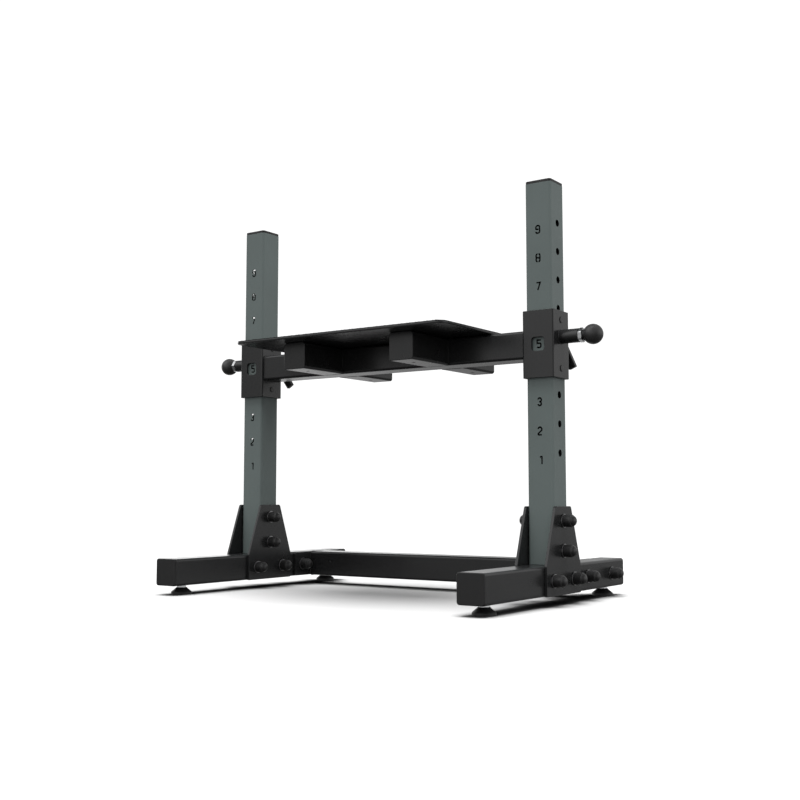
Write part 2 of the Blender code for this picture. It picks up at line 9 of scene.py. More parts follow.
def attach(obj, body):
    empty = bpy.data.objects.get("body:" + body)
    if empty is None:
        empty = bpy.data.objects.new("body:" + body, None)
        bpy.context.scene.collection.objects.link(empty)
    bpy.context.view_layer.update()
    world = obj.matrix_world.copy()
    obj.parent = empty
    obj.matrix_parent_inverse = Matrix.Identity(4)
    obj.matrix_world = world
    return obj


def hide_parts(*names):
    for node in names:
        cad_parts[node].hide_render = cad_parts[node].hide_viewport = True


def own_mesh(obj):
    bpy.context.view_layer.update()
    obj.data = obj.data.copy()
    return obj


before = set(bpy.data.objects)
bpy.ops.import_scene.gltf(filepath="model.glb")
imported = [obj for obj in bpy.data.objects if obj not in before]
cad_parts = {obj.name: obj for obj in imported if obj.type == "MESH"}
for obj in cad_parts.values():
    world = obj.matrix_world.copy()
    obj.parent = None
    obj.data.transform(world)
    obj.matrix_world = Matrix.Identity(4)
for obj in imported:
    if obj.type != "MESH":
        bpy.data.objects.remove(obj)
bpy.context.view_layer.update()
scene = bpy.context.scene

# ------------------------------------------------------------------ dimensions
GAP = 0.0003
TUBE, WALL, TUBE_R = 0.060, 0.003, 0.006
U = 0.396
FLOOR_GAP = 0.021
FOOT_HALF, CAP_T, TOP_CAP_T = 0.308, 0.0035, 0.0050
CAP_LIP = 0.0008
UPRIGHT_TOP = 0.8732
PITCH, HOLE_5, HOLE_D = 0.060, 0.548, 0.015
DIGIT_DROP = 0.0150
DIGIT_W, DIGIT_H, STROKE = 0.0086, 0.0156, 0.0033
PLATE_T = 0.006
GUSSET_FOOT, GUSSET_NECK, GUSSET_KNEE, GUSSET_TOP = 0.0755, 0.0340, 0.081, 0.1995
BOLT_D, BOLT_HOLE = 0.012, 0.0128
WASHER_R, WASHER_T, COVER_R, COVER_H = 0.0142, 0.0022, 0.0126, 0.0255
UPRIGHT_BOLT_Z = (0.1095, 0.1700)
BASE_BOLT_Z = 0.051
GUSSET_BOLT_Y = (-0.045, 0.045)
BAR_Y = 0.183
FLANGE_BOLT_Y = (BAR_Y - 0.060, BAR_Y + 0.060)
FLANGE_HALF = 0.088
LEVEL_Y, PAD_R = 0.2588, 0.023
COLLAR, COLLAR_WALL = 0.072, 0.004
COLLAR_Z = (0.4624, 0.603)
WINDOW = (0.0294, 0.0285, 0.0065, 0.5325)
PLUG_Z = (0.4825, 0.5835)
BEAM_Z = (0.503, 0.563)
ARM_X, ARM_END, SCREW_Y = 0.145, 0.169, 0.120
DECK = (0.5615, 0.4405, 0.020)
MAT_T = 0.0024
BARREL, BARREL_R, BARREL_BORE = (0.0363, 0.0787), 0.0146, 0.0088
HEX_AF, HEX_END = 0.027, 0.0874
BALL_R, BALL_X, ROD_R = 0.0209, 0.1076, 0.004
PIN_R, PIN_NOSE, PIN_SHOULDER = 0.0070, 0.0306, (0.0445, 0.0475)
LEVER_Z, LEVER_LEN, BOSS_END = 0.556, 0.0724, 0.050
LEVER_TURN = {"left": math.radians(32), "right": math.radians(23.5)}
LEVER_TILT = math.radians(5)
HEX_TURN = {"left": math.radians(-2), "right": math.radians(-20)}
SIDES = (("left", -1), ("right", 1))
X, Y, Z = Vector((1, 0, 0)), Vector((0, 1, 0)), Vector((0, 0, 1))


# ------------------------------------------------------------------ materials
def tree(name):
    mat = bpy.data.materials.new(name)
    mat.use_nodes = True
    nt = mat.node_tree
    shader = nt.nodes["Principled BSDF"]
    coord = nt.nodes.new("ShaderNodeTexCoord")
    return mat, nt, shader, coord.outputs["Object"]


def noise(nt, vector, scale, detail=2.0, rough=0.5, stretch=None):
    if stretch:
        mapping = nt.nodes.new("ShaderNodeMapping")
        mapping.inputs["Scale"].default_value = stretch
        nt.links.new(vector, mapping.inputs["Vector"])
        vector = mapping.outputs["Vector"]
    node = nt.nodes.new("ShaderNodeTexNoise")
    node.inputs["Scale"].default_value = scale
    node.inputs["Detail"].default_value = detail
    node.inputs["Roughness"].default_value = rough
    nt.links.new(vector, node.inputs["Vector"])
    return node.outputs["Fac"]


def remap(nt, value, low, high, out_low, out_high):
    node = nt.nodes.new("ShaderNodeMapRange")
    for key, v in (("From Min", low), ("From Max", high), ("To Min", out_low), ("To Max", out_high)):
        node.inputs[key].default_value = v
    nt.links.new(value, node.inputs["Value"])
    return node.outputs["Result"]


def blend_colour(nt, fac, a, b):
    node = nt.nodes.new("ShaderNodeMix")
    node.data_type = "RGBA"
    node.inputs["A"].default_value = (*a, 1.0)
    node.inputs["B"].default_value = (*b, 1.0)
    nt.links.new(fac, node.inputs["Factor"])
    return node.outputs["Result"]


def bump(nt, height, strength, distance, under=None):
    node = nt.nodes.new("ShaderNodeBump")
    node.inputs["Strength"].default_value = strength
    node.inputs["Distance"].default_value = distance
    nt.links.new(height, node.inputs["Height"])
    if under:
        nt.links.new(under, node.inputs["Normal"])
    return node.outputs["Normal"]


def powder_coat(name, colour, rough=0.40, spread=0.06, peel=0.16, specular=0.40):
    """Satin powder coat: orange peel, a slow drift in gloss and a trace of fine grain."""
    mat, nt, shader, at = tree(name)
    slow = noise(nt, at, 9.0, 3.0, 0.55)
    tone = blend_colour(nt, slow, [c * 0.90 for c in colour], [c * 1.12 for c in colour])
    nt.links.new(tone, shader.inputs["Base Color"])
    gloss = noise(nt, at, 26.0, 3.0, 0.6)
    nt.links.new(remap(nt, gloss, 0.3, 0.7, rough - spread / 2, rough + spread / 2),
                 shader.inputs["Roughness"])
    fine = bump(nt, noise(nt, at, 1500.0, 2.0, 0.6), peel * 0.7, 0.00006)
    nt.links.new(bump(nt, noise(nt, at, 420.0, 2.0, 0.5), peel, 0.00018, fine),
                 shader.inputs["Normal"])
    shader.inputs["Specular IOR Level"].default_value = specular
    return mat


def plastic(name, colour, rough=0.42, grain=0.10, specular=0.40):
    mat, nt, shader, at = tree(name)
    slow = noise(nt, at, 40.0, 2.0, 0.5)
    tone = blend_colour(nt, slow, [c * 0.88 for c in colour], [c * 1.12 for c in colour])
    nt.links.new(tone, shader.inputs["Base Color"])
    nt.links.new(remap(nt, noise(nt, at, 90.0, 3.0, 0.6), 0.3, 0.7, rough - 0.04, rough + 0.05),
                 shader.inputs["Roughness"])
    nt.links.new(bump(nt, noise(nt, at, 2600.0, 2.0, 0.7), grain, 0.00005), shader.inputs["Normal"])
    shader.inputs["Specular IOR Level"].default_value = specular
    return mat


def rubber(name, colour, rough=0.78):
    mat, nt, shader, at = tree(name)
    slow = noise(nt, at, 30.0, 4.0, 0.6)
    tone = blend_colour(nt, slow, [c * 0.8 for c in colour], [c * 1.25 for c in colour])
    nt.links.new(tone, shader.inputs["Base Color"])
    nt.links.new(remap(nt, slow, 0.3, 0.7, rough - 0.07, rough + 0.07), shader.inputs["Roughness"])
    grit = bump(nt, noise(nt, at, 1900.0, 3.0, 0.7), 0.35, 0.00010)
    nt.links.new(grit, shader.inputs["Normal"])
    shader.inputs["Specular IOR Level"].default_value = 0.35
    return mat


def plated(name, colour, rough=0.26, stretch=(1.0, 1.0, 1.0), brush=0.12):
    """Zinc-plated steel with fine turning or drawing marks along one direction."""
    mat, nt, shader, at = tree(name)
    marks = noise(nt, at, 900.0, 4.0, 0.65, stretch)
    cloud = noise(nt, at, 120.0, 3.0, 0.5)
    tone = blend_colour(nt, cloud, [c * 0.92 for c in colour], [min(1.0, c * 1.06) for c in colour])
    nt.links.new(tone, shader.inputs["Base Color"])
    nt.links.new(remap(nt, marks, 0.3, 0.7, rough - 0.06, rough + 0.08), shader.inputs["Roughness"])
    nt.links.new(bump(nt, marks, brush, 0.00005), shader.inputs["Normal"])
    shader.inputs["Metallic"].default_value = 1.0
    return mat


BLACK = powder_coat("black_powder_coat", (0.0105, 0.0107, 0.0110), 0.25, spread=0.05, peel=0.12)
GREY = powder_coat("grey_green_powder_coat", (0.094, 0.113, 0.110), 0.46, specular=0.16)
COVER = plastic("bolt_cover_plastic", (0.0120, 0.0120, 0.0123), 0.34)
CAP = plastic("end_cap_plastic", (0.0070, 0.0070, 0.0073), 0.44)
LEVER = plastic("clamp_lever_plastic", (0.0090, 0.0090, 0.0092), 0.40, 0.16)
# Near-black paint for the tube's inside, the digit slot walls and the pin hole walls: painted shade in these
# recesses.
RECESS_SHADE = powder_coat("painted_shade_recess", (0.0060, 0.0060, 0.0060), 0.62, specular=0.10)
GLIDE = plastic("glide_liner_plastic", (0.0105, 0.0105, 0.0108), 0.30, 0.06)
KNOB = plastic("ball_knob_plastic", (0.0205, 0.0205, 0.0208), 0.36, 0.06)
MAT_RUBBER = rubber("grip_mat_rubber", (0.0100, 0.0100, 0.0100), 0.74)
PAD = plastic("levelling_pad_plastic", (0.0080, 0.0080, 0.0082), 0.50, 0.16, 0.4)
ZINC = plated("zinc_plated_steel", (0.66, 0.67, 0.68), 0.27)
ZINC_TURNED = plated("zinc_turned_steel", (0.62, 0.63, 0.64), 0.24, (1.0, 0.06, 0.06))
SPRING_STEEL = plated("spring_steel", (0.50, 0.50, 0.50), 0.30)
WASHER = plated("washer_steel", (0.30, 0.30, 0.305), 0.30, (1.0, 0.1, 0.1))
BOLT_STEEL = plated("black_oxide_steel", (0.10, 0.10, 0.105), 0.34)


# ------------------------------------------------------------------ mesh helpers
def finish(name, mesh, mats, angle=32, weighted=True):
    mesh.name = name
    mesh.shade_smooth()
    mesh.set_sharp_from_angle(angle=math.radians(angle))
    for mat in mats if isinstance(mats, (list, tuple)) else [mats]:
        mesh.materials.append(mat)
    obj = bpy.data.objects.new(name, mesh)
    scene.collection.objects.link(obj)
    if weighted:
        mod = obj.modifiers.new("flat_faces", "WEIGHTED_NORMAL")
        mod.keep_sharp = True
        mod.weight = 90
    return obj


def to_mesh(bm, name="mesh"):
    bmesh.ops.recalc_face_normals(bm, faces=bm.faces)
    mesh = bpy.data.meshes.new(name)
    bm.to_mesh(mesh)
    bm.free()
    return mesh


def basis(along, up):
    """Matrix whose columns carry a profile's u, v and length directions."""
    w = along.normalized()
    v = up.normalized()
    u = v.cross(w)
    return Matrix((u, v, w)).transposed().to_4x4()


def loft(bm, rings, closed=False, cap=True):
    """Quads between rings of equal length, with flat ends where it isn't closed."""
    made = [[bm.verts.new(p) for p in ring] for ring in rings]
    pairs = list(zip(made, made[1:]))
    if closed:
        pairs.append((made[-1], made[0]))
    n = len(made[0])
    for a, b in pairs:
        for i in range(n):
            j = (i + 1) % n
            bm.faces.new((a[i], a[j], b[j], b[i]))
    if cap and not closed:
        bm.faces.new(made[0][::-1])
        bm.faces.new(made[-1])
    return made


def lathe(bm, profile, seg=48, centre=(0, 0, 0), along=Z, closed=False):
    """Turns (radius, height) points round an axis; a radius of 0 is one point."""
    up = Z if abs(along.normalized().dot(Z)) < 0.9 else X
    turn = Matrix.Translation(centre) @ basis(along, up)
    rows = []
    for r, h in profile:
        if r < 1e-7:
            rows.append([bm.verts.new(turn @ Vector((0, 0, h)))])
        else:
            rows.append([bm.verts.new(turn @ Vector((r * math.cos(2 * math.pi * i / seg),
                                                     r * math.sin(2 * math.pi * i / seg), h)))
                         for i in range(seg)])
    pairs = list(zip(rows, rows[1:]))
    if closed:
        pairs.append((rows[-1], rows[0]))
    for a, b in pairs:
        for i in range(seg):
            j = (i + 1) % seg
            if len(a) == 1 and len(b) == 1:
                continue
            if len(a) == 1:
                bm.faces.new((a[0], b[i], b[j]))
            elif len(b) == 1:
                bm.faces.new((a[i], b[0], a[j]))
            else:
                bm.faces.new((a[i], b[i], b[j], a[j]))


def arc(cx, cy, r, a0, a1, n=5):
    return [(cx + r * math.cos(math.radians(a0 + (a1 - a0) * k / n)),
             cy + r * math.sin(math.radians(a0 + (a1 - a0) * k / n))) for k in range(n + 1)]


def rounded(w, h, r, n=8):
    r = max(r, 0.00005)
    loop = []
    for k, (sx, sy) in enumerate(((1, 1), (-1, 1), (-1, -1), (1, -1))):
        for i in range(n + 1):
            a = math.pi / 2 * (k + i / n)
            loop.append((sx * (w / 2 - r) + r * math.cos(a), sy * (h / 2 - r) + r * math.sin(a)))
    return loop


def tube_bm(length, size=TUBE, wall=WALL, r=TUBE_R, edge=0.0004, n=8, along=Z, up=Y,
            centre=(0, 0, 0), bm=None):
    """Square tube as one loop of rings: outside, rounded rim, inside, rounded rim."""
    bm = bm or bmesh.new()
    turn = Matrix.Translation(centre) @ basis(along, up)
    rows = []
    half = length / 2
    for sign in (1, -1):
        outer = [(edge - edge * math.cos(math.radians(a)), half - edge + edge * math.sin(math.radians(a)))
                 for a in (0, 30, 60, 90)]
        inner = [(wall - edge + edge * math.sin(math.radians(a)), half - edge + edge * math.cos(math.radians(a)))
                 for a in (0, 45, 90)]
        side = outer + inner
        rows += [(i, sign * z) for i, z in (side if sign > 0 else side[::-1])]
    rings = []
    for inset, z in rows:
        rings.append([turn @ Vector((u, v, z))
                      for u, v in rounded(size - 2 * inset, size - 2 * inset, r - inset, n)])
    loft(bm, rings, closed=True)
    return bm


def block_bm(w, h, length, r, edge, n=8, m=4, along=Z, up=Y, centre=(0, 0, 0), bm=None, both=True):
    """Bar with rounded long edges and rounded ends."""
    bm = bm or bmesh.new()
    turn = Matrix.Translation(centre) @ basis(along, up)
    half = length / 2
    top = [(edge - edge * math.sin(math.radians(90 * k / m)), half - edge + edge * math.cos(math.radians(90 * k / m)))
           for k in range(m + 1)]
    bottom = [(i, -z) for i, z in top[::-1]] if both else [(0.0, -half)]
    rings = [[turn @ Vector((u, v, z)) for u, v in rounded(w - 2 * i, h - 2 * i, r - i, n)]
             for i, z in top + bottom]
    loft(bm, rings)
    return bm


def evaluated(obj):
    bpy.context.view_layer.update()
    graph = bpy.context.evaluated_depsgraph_get()
    mesh = bpy.data.meshes.new_from_object(obj.evaluated_get(graph))
    bpy.data.objects.remove(obj, do_unlink=True)
    return mesh


def plate_mesh(loops, thickness, edge, along=X, centre=(0, 0, 0)):
    """Flat plate with holes, every edge rounded. Along X the outline is (y, z), along Z it is (x, y)."""
    curve = bpy.data.curves.new("plate", "CURVE")
    curve.dimensions = "2D"
    curve.fill_mode = "BOTH"
    curve.extrude = thickness / 2 - edge
    curve.bevel_depth = edge
    curve.bevel_resolution = 2
    curve.offset = -edge
    for loop in loops:
        spline = curve.splines.new("POLY")
        spline.points.add(len(loop) - 1)
        for point, (u, v) in zip(spline.points, loop):
            point.co = (u, v, 0.0, 1.0)
        spline.use_cyclic_u = True
    obj = bpy.data.objects.new("plate", curve)
    scene.collection.objects.link(obj)
    mesh = evaluated(obj)
    turn = {"X": Matrix(((0, 0, 1, 0), (1, 0, 0, 0), (0, 1, 0, 0), (0, 0, 0, 1))),
            "Y": Matrix(((1, 0, 0, 0), (0, 0, -1, 0), (0, 1, 0, 0), (0, 0, 0, 1))),
            "Z": Matrix.Identity(4)}["XYZ"[[abs(c) for c in along].index(max(abs(c) for c in along))]]
    mesh.transform(Matrix.Translation(centre) @ turn)
    bm = bmesh.new()
    bm.from_mesh(mesh)
    bmesh.ops.remove_doubles(bm, verts=bm.verts, dist=2e-6)
    bmesh.ops.dissolve_degenerate(bm, edges=bm.edges, dist=1e-6)
    return to_mesh(bm)


def cut_mesh(mesh, cutter_bm, overlapping=False):
    """Boolean difference, applied."""
    obj = bpy.data.objects.new("base", mesh)
    tool = bpy.data.objects.new("tool", to_mesh(cutter_bm))
    scene.collection.objects.link(obj)
    scene.collection.objects.link(tool)
    mod = obj.modifiers.new("cut", "BOOLEAN")
    mod.operation, mod.solver, mod.object = "DIFFERENCE", "EXACT", tool
    mod.use_self = overlapping
    out = evaluated(obj)
    bpy.data.objects.remove(tool, do_unlink=True)
    return out


def add_mesh(*meshes):
    bm = bmesh.new()
    for mesh in meshes:
        bm.from_mesh(mesh)
    out = bpy.data.meshes.new("joined")
    bm.to_mesh(out)
    bm.free()
    return out


def paint(mesh, index):
    for poly in mesh.polygons:
        poly.material_index = index
    return mesh


def put(obj, body, *nodes, slot=None):
    """The piece moves with its body and stands for its CAD nodes."""
    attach(obj, body)
    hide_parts(*nodes)
    return obj


def circle(r, n=32, cu=0.0, cv=0.0):
    return [(cu + r * math.cos(2 * math.pi * i / n), cv + r * math.sin(2 * math.pi * i / n))
            for i in range(n)]


def soften(points, radii, n=6):
    out = []
    count = len(points)
    for i, (p, r) in enumerate(zip(points, radii)):
        a, b = Vector(points[i - 1]), Vector(points[(i + 1) % count])
        p = Vector(p)
        ua, ub = (a - p), (b - p)
        la, lb = ua.length, ub.length
        ua.normalize()
        ub.normalize()
        half = math.acos(max(-1.0, min(1.0, ua.dot(ub)))) / 2
        if r <= 0 or half > math.radians(88):
            out.append(tuple(p))
            continue
        reach = min(r / math.tan(half), 0.48 * la, 0.48 * lb)
        r = reach * math.tan(half)
        c = p + (ua + ub).normalized() * (r / math.sin(half))
        s, e = p + ua * reach - c, p + ub * reach - c
        t0 = math.atan2(s.y, s.x)
        sweep = (math.atan2(e.y, e.x) - t0 + math.pi) % (2 * math.pi) - math.pi
        out += [(c.x + r * math.cos(t0 + sweep * k / n), c.y + r * math.sin(t0 + sweep * k / n))
                for k in range(n + 1)]
    return out


def bead(bm, path, radius, seg=8, ripple=0.16, step=0.0016, closed=True, seed=1):
    """A weld bead along a path: a round bead with laid-over ripples."""
    pts = []
    n = len(path)
    for i in range(n if closed else n - 1):
        a, b = path[i], path[(i + 1) % n]
        count = max(1, int((b - a).length / step))
        pts += [a.lerp(b, k / count) for k in range(count)]
    rng = random.Random(seed)
    rings = []
    m = len(pts)
    for i, p in enumerate(pts):
        t = (pts[(i + 1) % m] - pts[i - 1]).normalized()
        ref = X if abs(t.dot(X)) < 0.8 else Y
        u = t.cross(ref).normalized()
        v = t.cross(u)
        r = radius * (1 + ripple * math.sin(i * 2.1) + rng.uniform(-0.06, 0.06))
        rings.append([p + u * r * math.cos(2 * math.pi * k / seg) + v * r * math.sin(2 * math.pi * k / seg)
                      for k in range(seg)])
    loft(bm, rings, closed=closed)


# ------------------------------------------------------------------ digits
def stroke(path, width):
    left, right = [], []
    for i, p in enumerate(path):
        if i in (0, len(path) - 1):
            a, b = (path[0], path[1]) if i == 0 else (path[-2], path[-1])
            dx, dy = b[0] - a[0], b[1] - a[1]
            l = math.hypot(dx, dy)
            nx, ny, k = -dy / l, dx / l, 1.0
        else:
            (ax, ay), (bx, by) = path[i - 1], path[i + 1]
            ux, uy, vx, vy = p[0] - ax, p[1] - ay, bx - p[0], by - p[1]
            lu, lv = math.hypot(ux, uy), math.hypot(vx, vy)
            n1, n2 = (-uy / lu, ux / lu), (-vy / lv, vx / lv)
            nx, ny = n1[0] + n2[0], n1[1] + n2[1]
            l = math.hypot(nx, ny)
            nx, ny = nx / l, ny / l
            k = 1.0 / (nx * n1[0] + ny * n1[1])
        left.append((p[0] + nx * k * width / 2, p[1] + ny * k * width / 2))
        right.append((p[0] - nx * k * width / 2, p[1] - ny * k * width / 2))
    return left + right[::-1]


W, H = DIGIT_W / 2, DIGIT_H / 2
BRIDGE, Q, Q8 = 0.0009, 0.0031, 0.0026


def hook(sign):
    """Round-cornered 9, or turned a 6, its counter held by a bridge at the end of the middle bar."""
    mid, r = H * 0.02, 0.0019
    main = [(-W, -H + Q * 1.15), *arc(-W + Q, -H + Q, Q, 180, 270, 6), *arc(W - Q, -H + Q, Q, 270, 360, 6),
            *arc(W - Q, H - Q, Q, 0, 90, 6), *arc(-W + Q, H - Q, Q, 90, 180, 6),
            *arc(-W + r, mid + r, r, 180, 270, 5), (W - STROKE / 2 - BRIDGE, mid)]
    return [[(sign * u, sign * v) for u, v in main]]


def bowl_of_three(sign):
    r = H / 2
    line = [*arc(0.0, H / 2, r, 168, -90, 18), (-W * 0.30, 0.0)]
    return [(u, v * sign) for u, v in line]


HALF_8 = [(-BRIDGE, H), *arc(-W + Q8, H - Q8, Q8, 90, 180, 6),
          *arc(-W + Q8, -H + Q8, Q8, 180, 270, 6), (-BRIDGE, -H)]
DIGITS = {
    1: [[(-W * 0.14, H * 0.80), (W * 0.45, H * 0.96), (W * 0.90, H * 0.96), (W * 0.90, -H)]],
    2: [[*arc(0.0, H - W, W, 172, -38, 16), (-W * 0.86, -H * 0.66),
         *arc(-W + 0.0022, -H + 0.0018, 0.0020, 195, 262, 4), (W, -H)]],
    3: [bowl_of_three(1), bowl_of_three(-1)],
    4: [[(W * 0.45, -H), (W * 0.45, H), (-W, -H * 0.38), (-W * 0.1, -H * 0.38)],
        [(W * 0.45, -H * 0.38), (W * 1.1, -H * 0.38)]],
    5: [[(W, H), (-W, H), (-W, H * 0.16), *arc(W - Q, H * 0.16 - Q, Q, 90, 0, 6),
         *arc(W - Q, -H + Q, Q, 0, -90, 6), *arc(-W + Q, -H + Q, Q, 270, 200, 5)]],
    6: hook(-1),
    7: [[(-W, H), (W, H), (-W * 0.30, -H)]],
    8: [HALF_8, [(-u, v) for u, v in HALF_8], [(-W, 0), (W, 0)]],
    9: hook(1),
}


# ------------------------------------------------------------------ base frame
def upright_mesh(x, s):
    z0, z1 = FLOOR_GAP + TUBE + GAP, UPRIGHT_TOP - CAP_LIP
    body = to_mesh(tube_bm(z1 - z0, centre=(x, 0, (z0 + z1) / 2), along=Z, up=Y, edge=0.0003))
    tools, digits = bmesh.new(), bmesh.new()
    for n in range(1, 10):
        z = HOLE_5 + (n - 5) * PITCH
        lathe(tools, [(0, 0.006), (HOLE_D / 2, 0.006), (HOLE_D / 2, -0.006), (0, -0.006)], 40,
              (x + s * (TUBE / 2 - WALL / 2), 0, z), X)
        for path in DIGITS[n]:
            rings = [[Vector((x + u, y, z - DIGIT_DROP + v)) for u, v in stroke(path, STROKE)]
                     for y in (-0.04, -0.02)]
            loft(digits, rings)
    for z in UPRIGHT_BOLT_Z:
        lathe(tools, [(0, 0.045), (BOLT_HOLE / 2, 0.045), (BOLT_HOLE / 2, -0.045), (0, -0.045)], 24,
              (x, 0, z), X)
    mesh = cut_mesh(cut_mesh(body, tools), digits, overlapping=True)
    # Faces inside the tube and the walls of the digit slots and pin holes take the second, near-black material:
    # painted shade.
    inner = TUBE / 2 - WALL + 0.00005
    low, high = HOLE_5 - 4.5 * PITCH, HOLE_5 + 4.2 * PITCH
    for face in mesh.polygons:
        c = face.center
        in_digit = abs(c.x - x) < 0.012 and abs(face.normal.y) < 0.5 and low < c.z < high
        in_hole = abs(c.y) < HOLE_D / 2 + 0.0002 and abs(face.normal.x) < 0.5 and low < c.z < high
        face.material_index = 1 if in_digit or in_hole or max(abs(c.x - x), abs(c.y)) < inner else 0
    return mesh


def bolt_mesh(x, y, z, inner, outer, s):
    """Bolt with a steel washer and a domed plastic cover at each end."""
    shaft = BOLT_D / 2
    parts = []
    for face, flip in ((outer + 2 * GAP, 1), (inner + 2 * GAP, -1)):
        seat = face + WASHER_T
        top = seat + COVER_H
        step, dome_r, dome_h = top - 0.0077, 0.0106, 0.0077
        shape = [(0, top)]
        shape += [(dome_r * math.sin(math.radians(a)), top - dome_h * (1 - math.cos(math.radians(a))))
                  for a in range(12, 85, 8)]
        shape += [(dome_r, step + 0.0006)] + arc(dome_r + 0.0005, step + 0.0005, 0.0005, 180, 255, 3)
        shape += arc(COVER_R - 0.0015, step - 0.0015, 0.0015, 82, 0, 6)
        shape += [(COVER_R, seat + 0.0006), (COVER_R - 0.0003, seat + 0.0001), (0, seat + 0.0001)]
        bm = bmesh.new()
        lathe(bm, [(a, flip * b) for a, b in shape][::flip], 40, (x, y, z), X * s)
        parts.append(paint(to_mesh(bm), 0))
        ring = [(shaft, seat)] + arc(WASHER_R - 0.0005, seat - 0.0005, 0.0005, 90, 0, 3)
        ring += arc(WASHER_R - 0.0005, face + 0.0005, 0.0005, 0, -90, 3) + [(shaft, face)]
        bm = bmesh.new()
        lathe(bm, [(a, flip * b) for a, b in ring][::flip], 40, (x, y, z), X * s, closed=True)
        parts.append(paint(to_mesh(bm), 1))
    bm = bmesh.new()
    a, b = outer + 2 * GAP + WASHER_T - 0.0002, -(inner + 2 * GAP + WASHER_T - 0.0002)
    lathe(bm, [(0, a), (shaft - 0.0001, a), (shaft - 0.0001, b), (0, b)], 24, (x, y, z), X * s)
    parts.append(paint(to_mesh(bm), 1))
    return add_mesh(*parts)


def pad_mesh(x, y):
    """Levelling foot: plastic base with a sloping top, hex and threaded stud."""
    bm = bmesh.new()
    base = [(0, 0.0154), (0.0108, 0.0154)]
    base += arc(0.0114, 0.0147, 0.0007, 90, 25, 3)
    base += [(0.0150, 0.0121), (0.0190, 0.0089), (0.0218, 0.0067)]
    base += arc(PAD_R - 0.0011, 0.0050, 0.0011, 60, 0, 4)
    base += [(PAD_R, 0.0014)]
    base += arc(PAD_R - 0.0012, 0.0012, 0.0012, 0, -90, 3)
    base += [(0, 0.0)]
    lathe(bm, base, 56, (x, y, 0), Z)
    plastic_part = paint(to_mesh(bm), 0)
    # hexagon above the base, and the threaded stud
    bm = bmesh.new()
    flat = 0.0100
    rings = []
    for h, limit in ((0.0155, flat + 0.0006), (0.0160, flat + 0.0014), (0.0199, flat + 0.0014), (0.0204, flat + 0.0004)):
        ring = []
        for k in range(48):
            a = 2 * math.pi * k / 48
            r = min(flat / math.cos(a % (math.pi / 3) - math.pi / 6), limit)
            ring.append(Vector((x + r * math.cos(a + 0.25), y + r * math.sin(a + 0.25), h)))
        rings.append(ring)
    loft(bm, rings)
    thread = [(0, 0.0580), (0.0036, 0.0580), (0.0044, 0.0572)]
    h = 0.0568
    while h > 0.0216:
        thread += [(0.0050, h), (0.0044, h - 0.00055), (0.0050, h - 0.0011)]
        h -= 0.0013
    thread += [(0.0050, 0.0203), (0, 0.0203)]
    lathe(bm, thread, 28, (x, y, 0), Z)
    metal = paint(to_mesh(bm), 1)
    return add_mesh(plastic_part, metal)


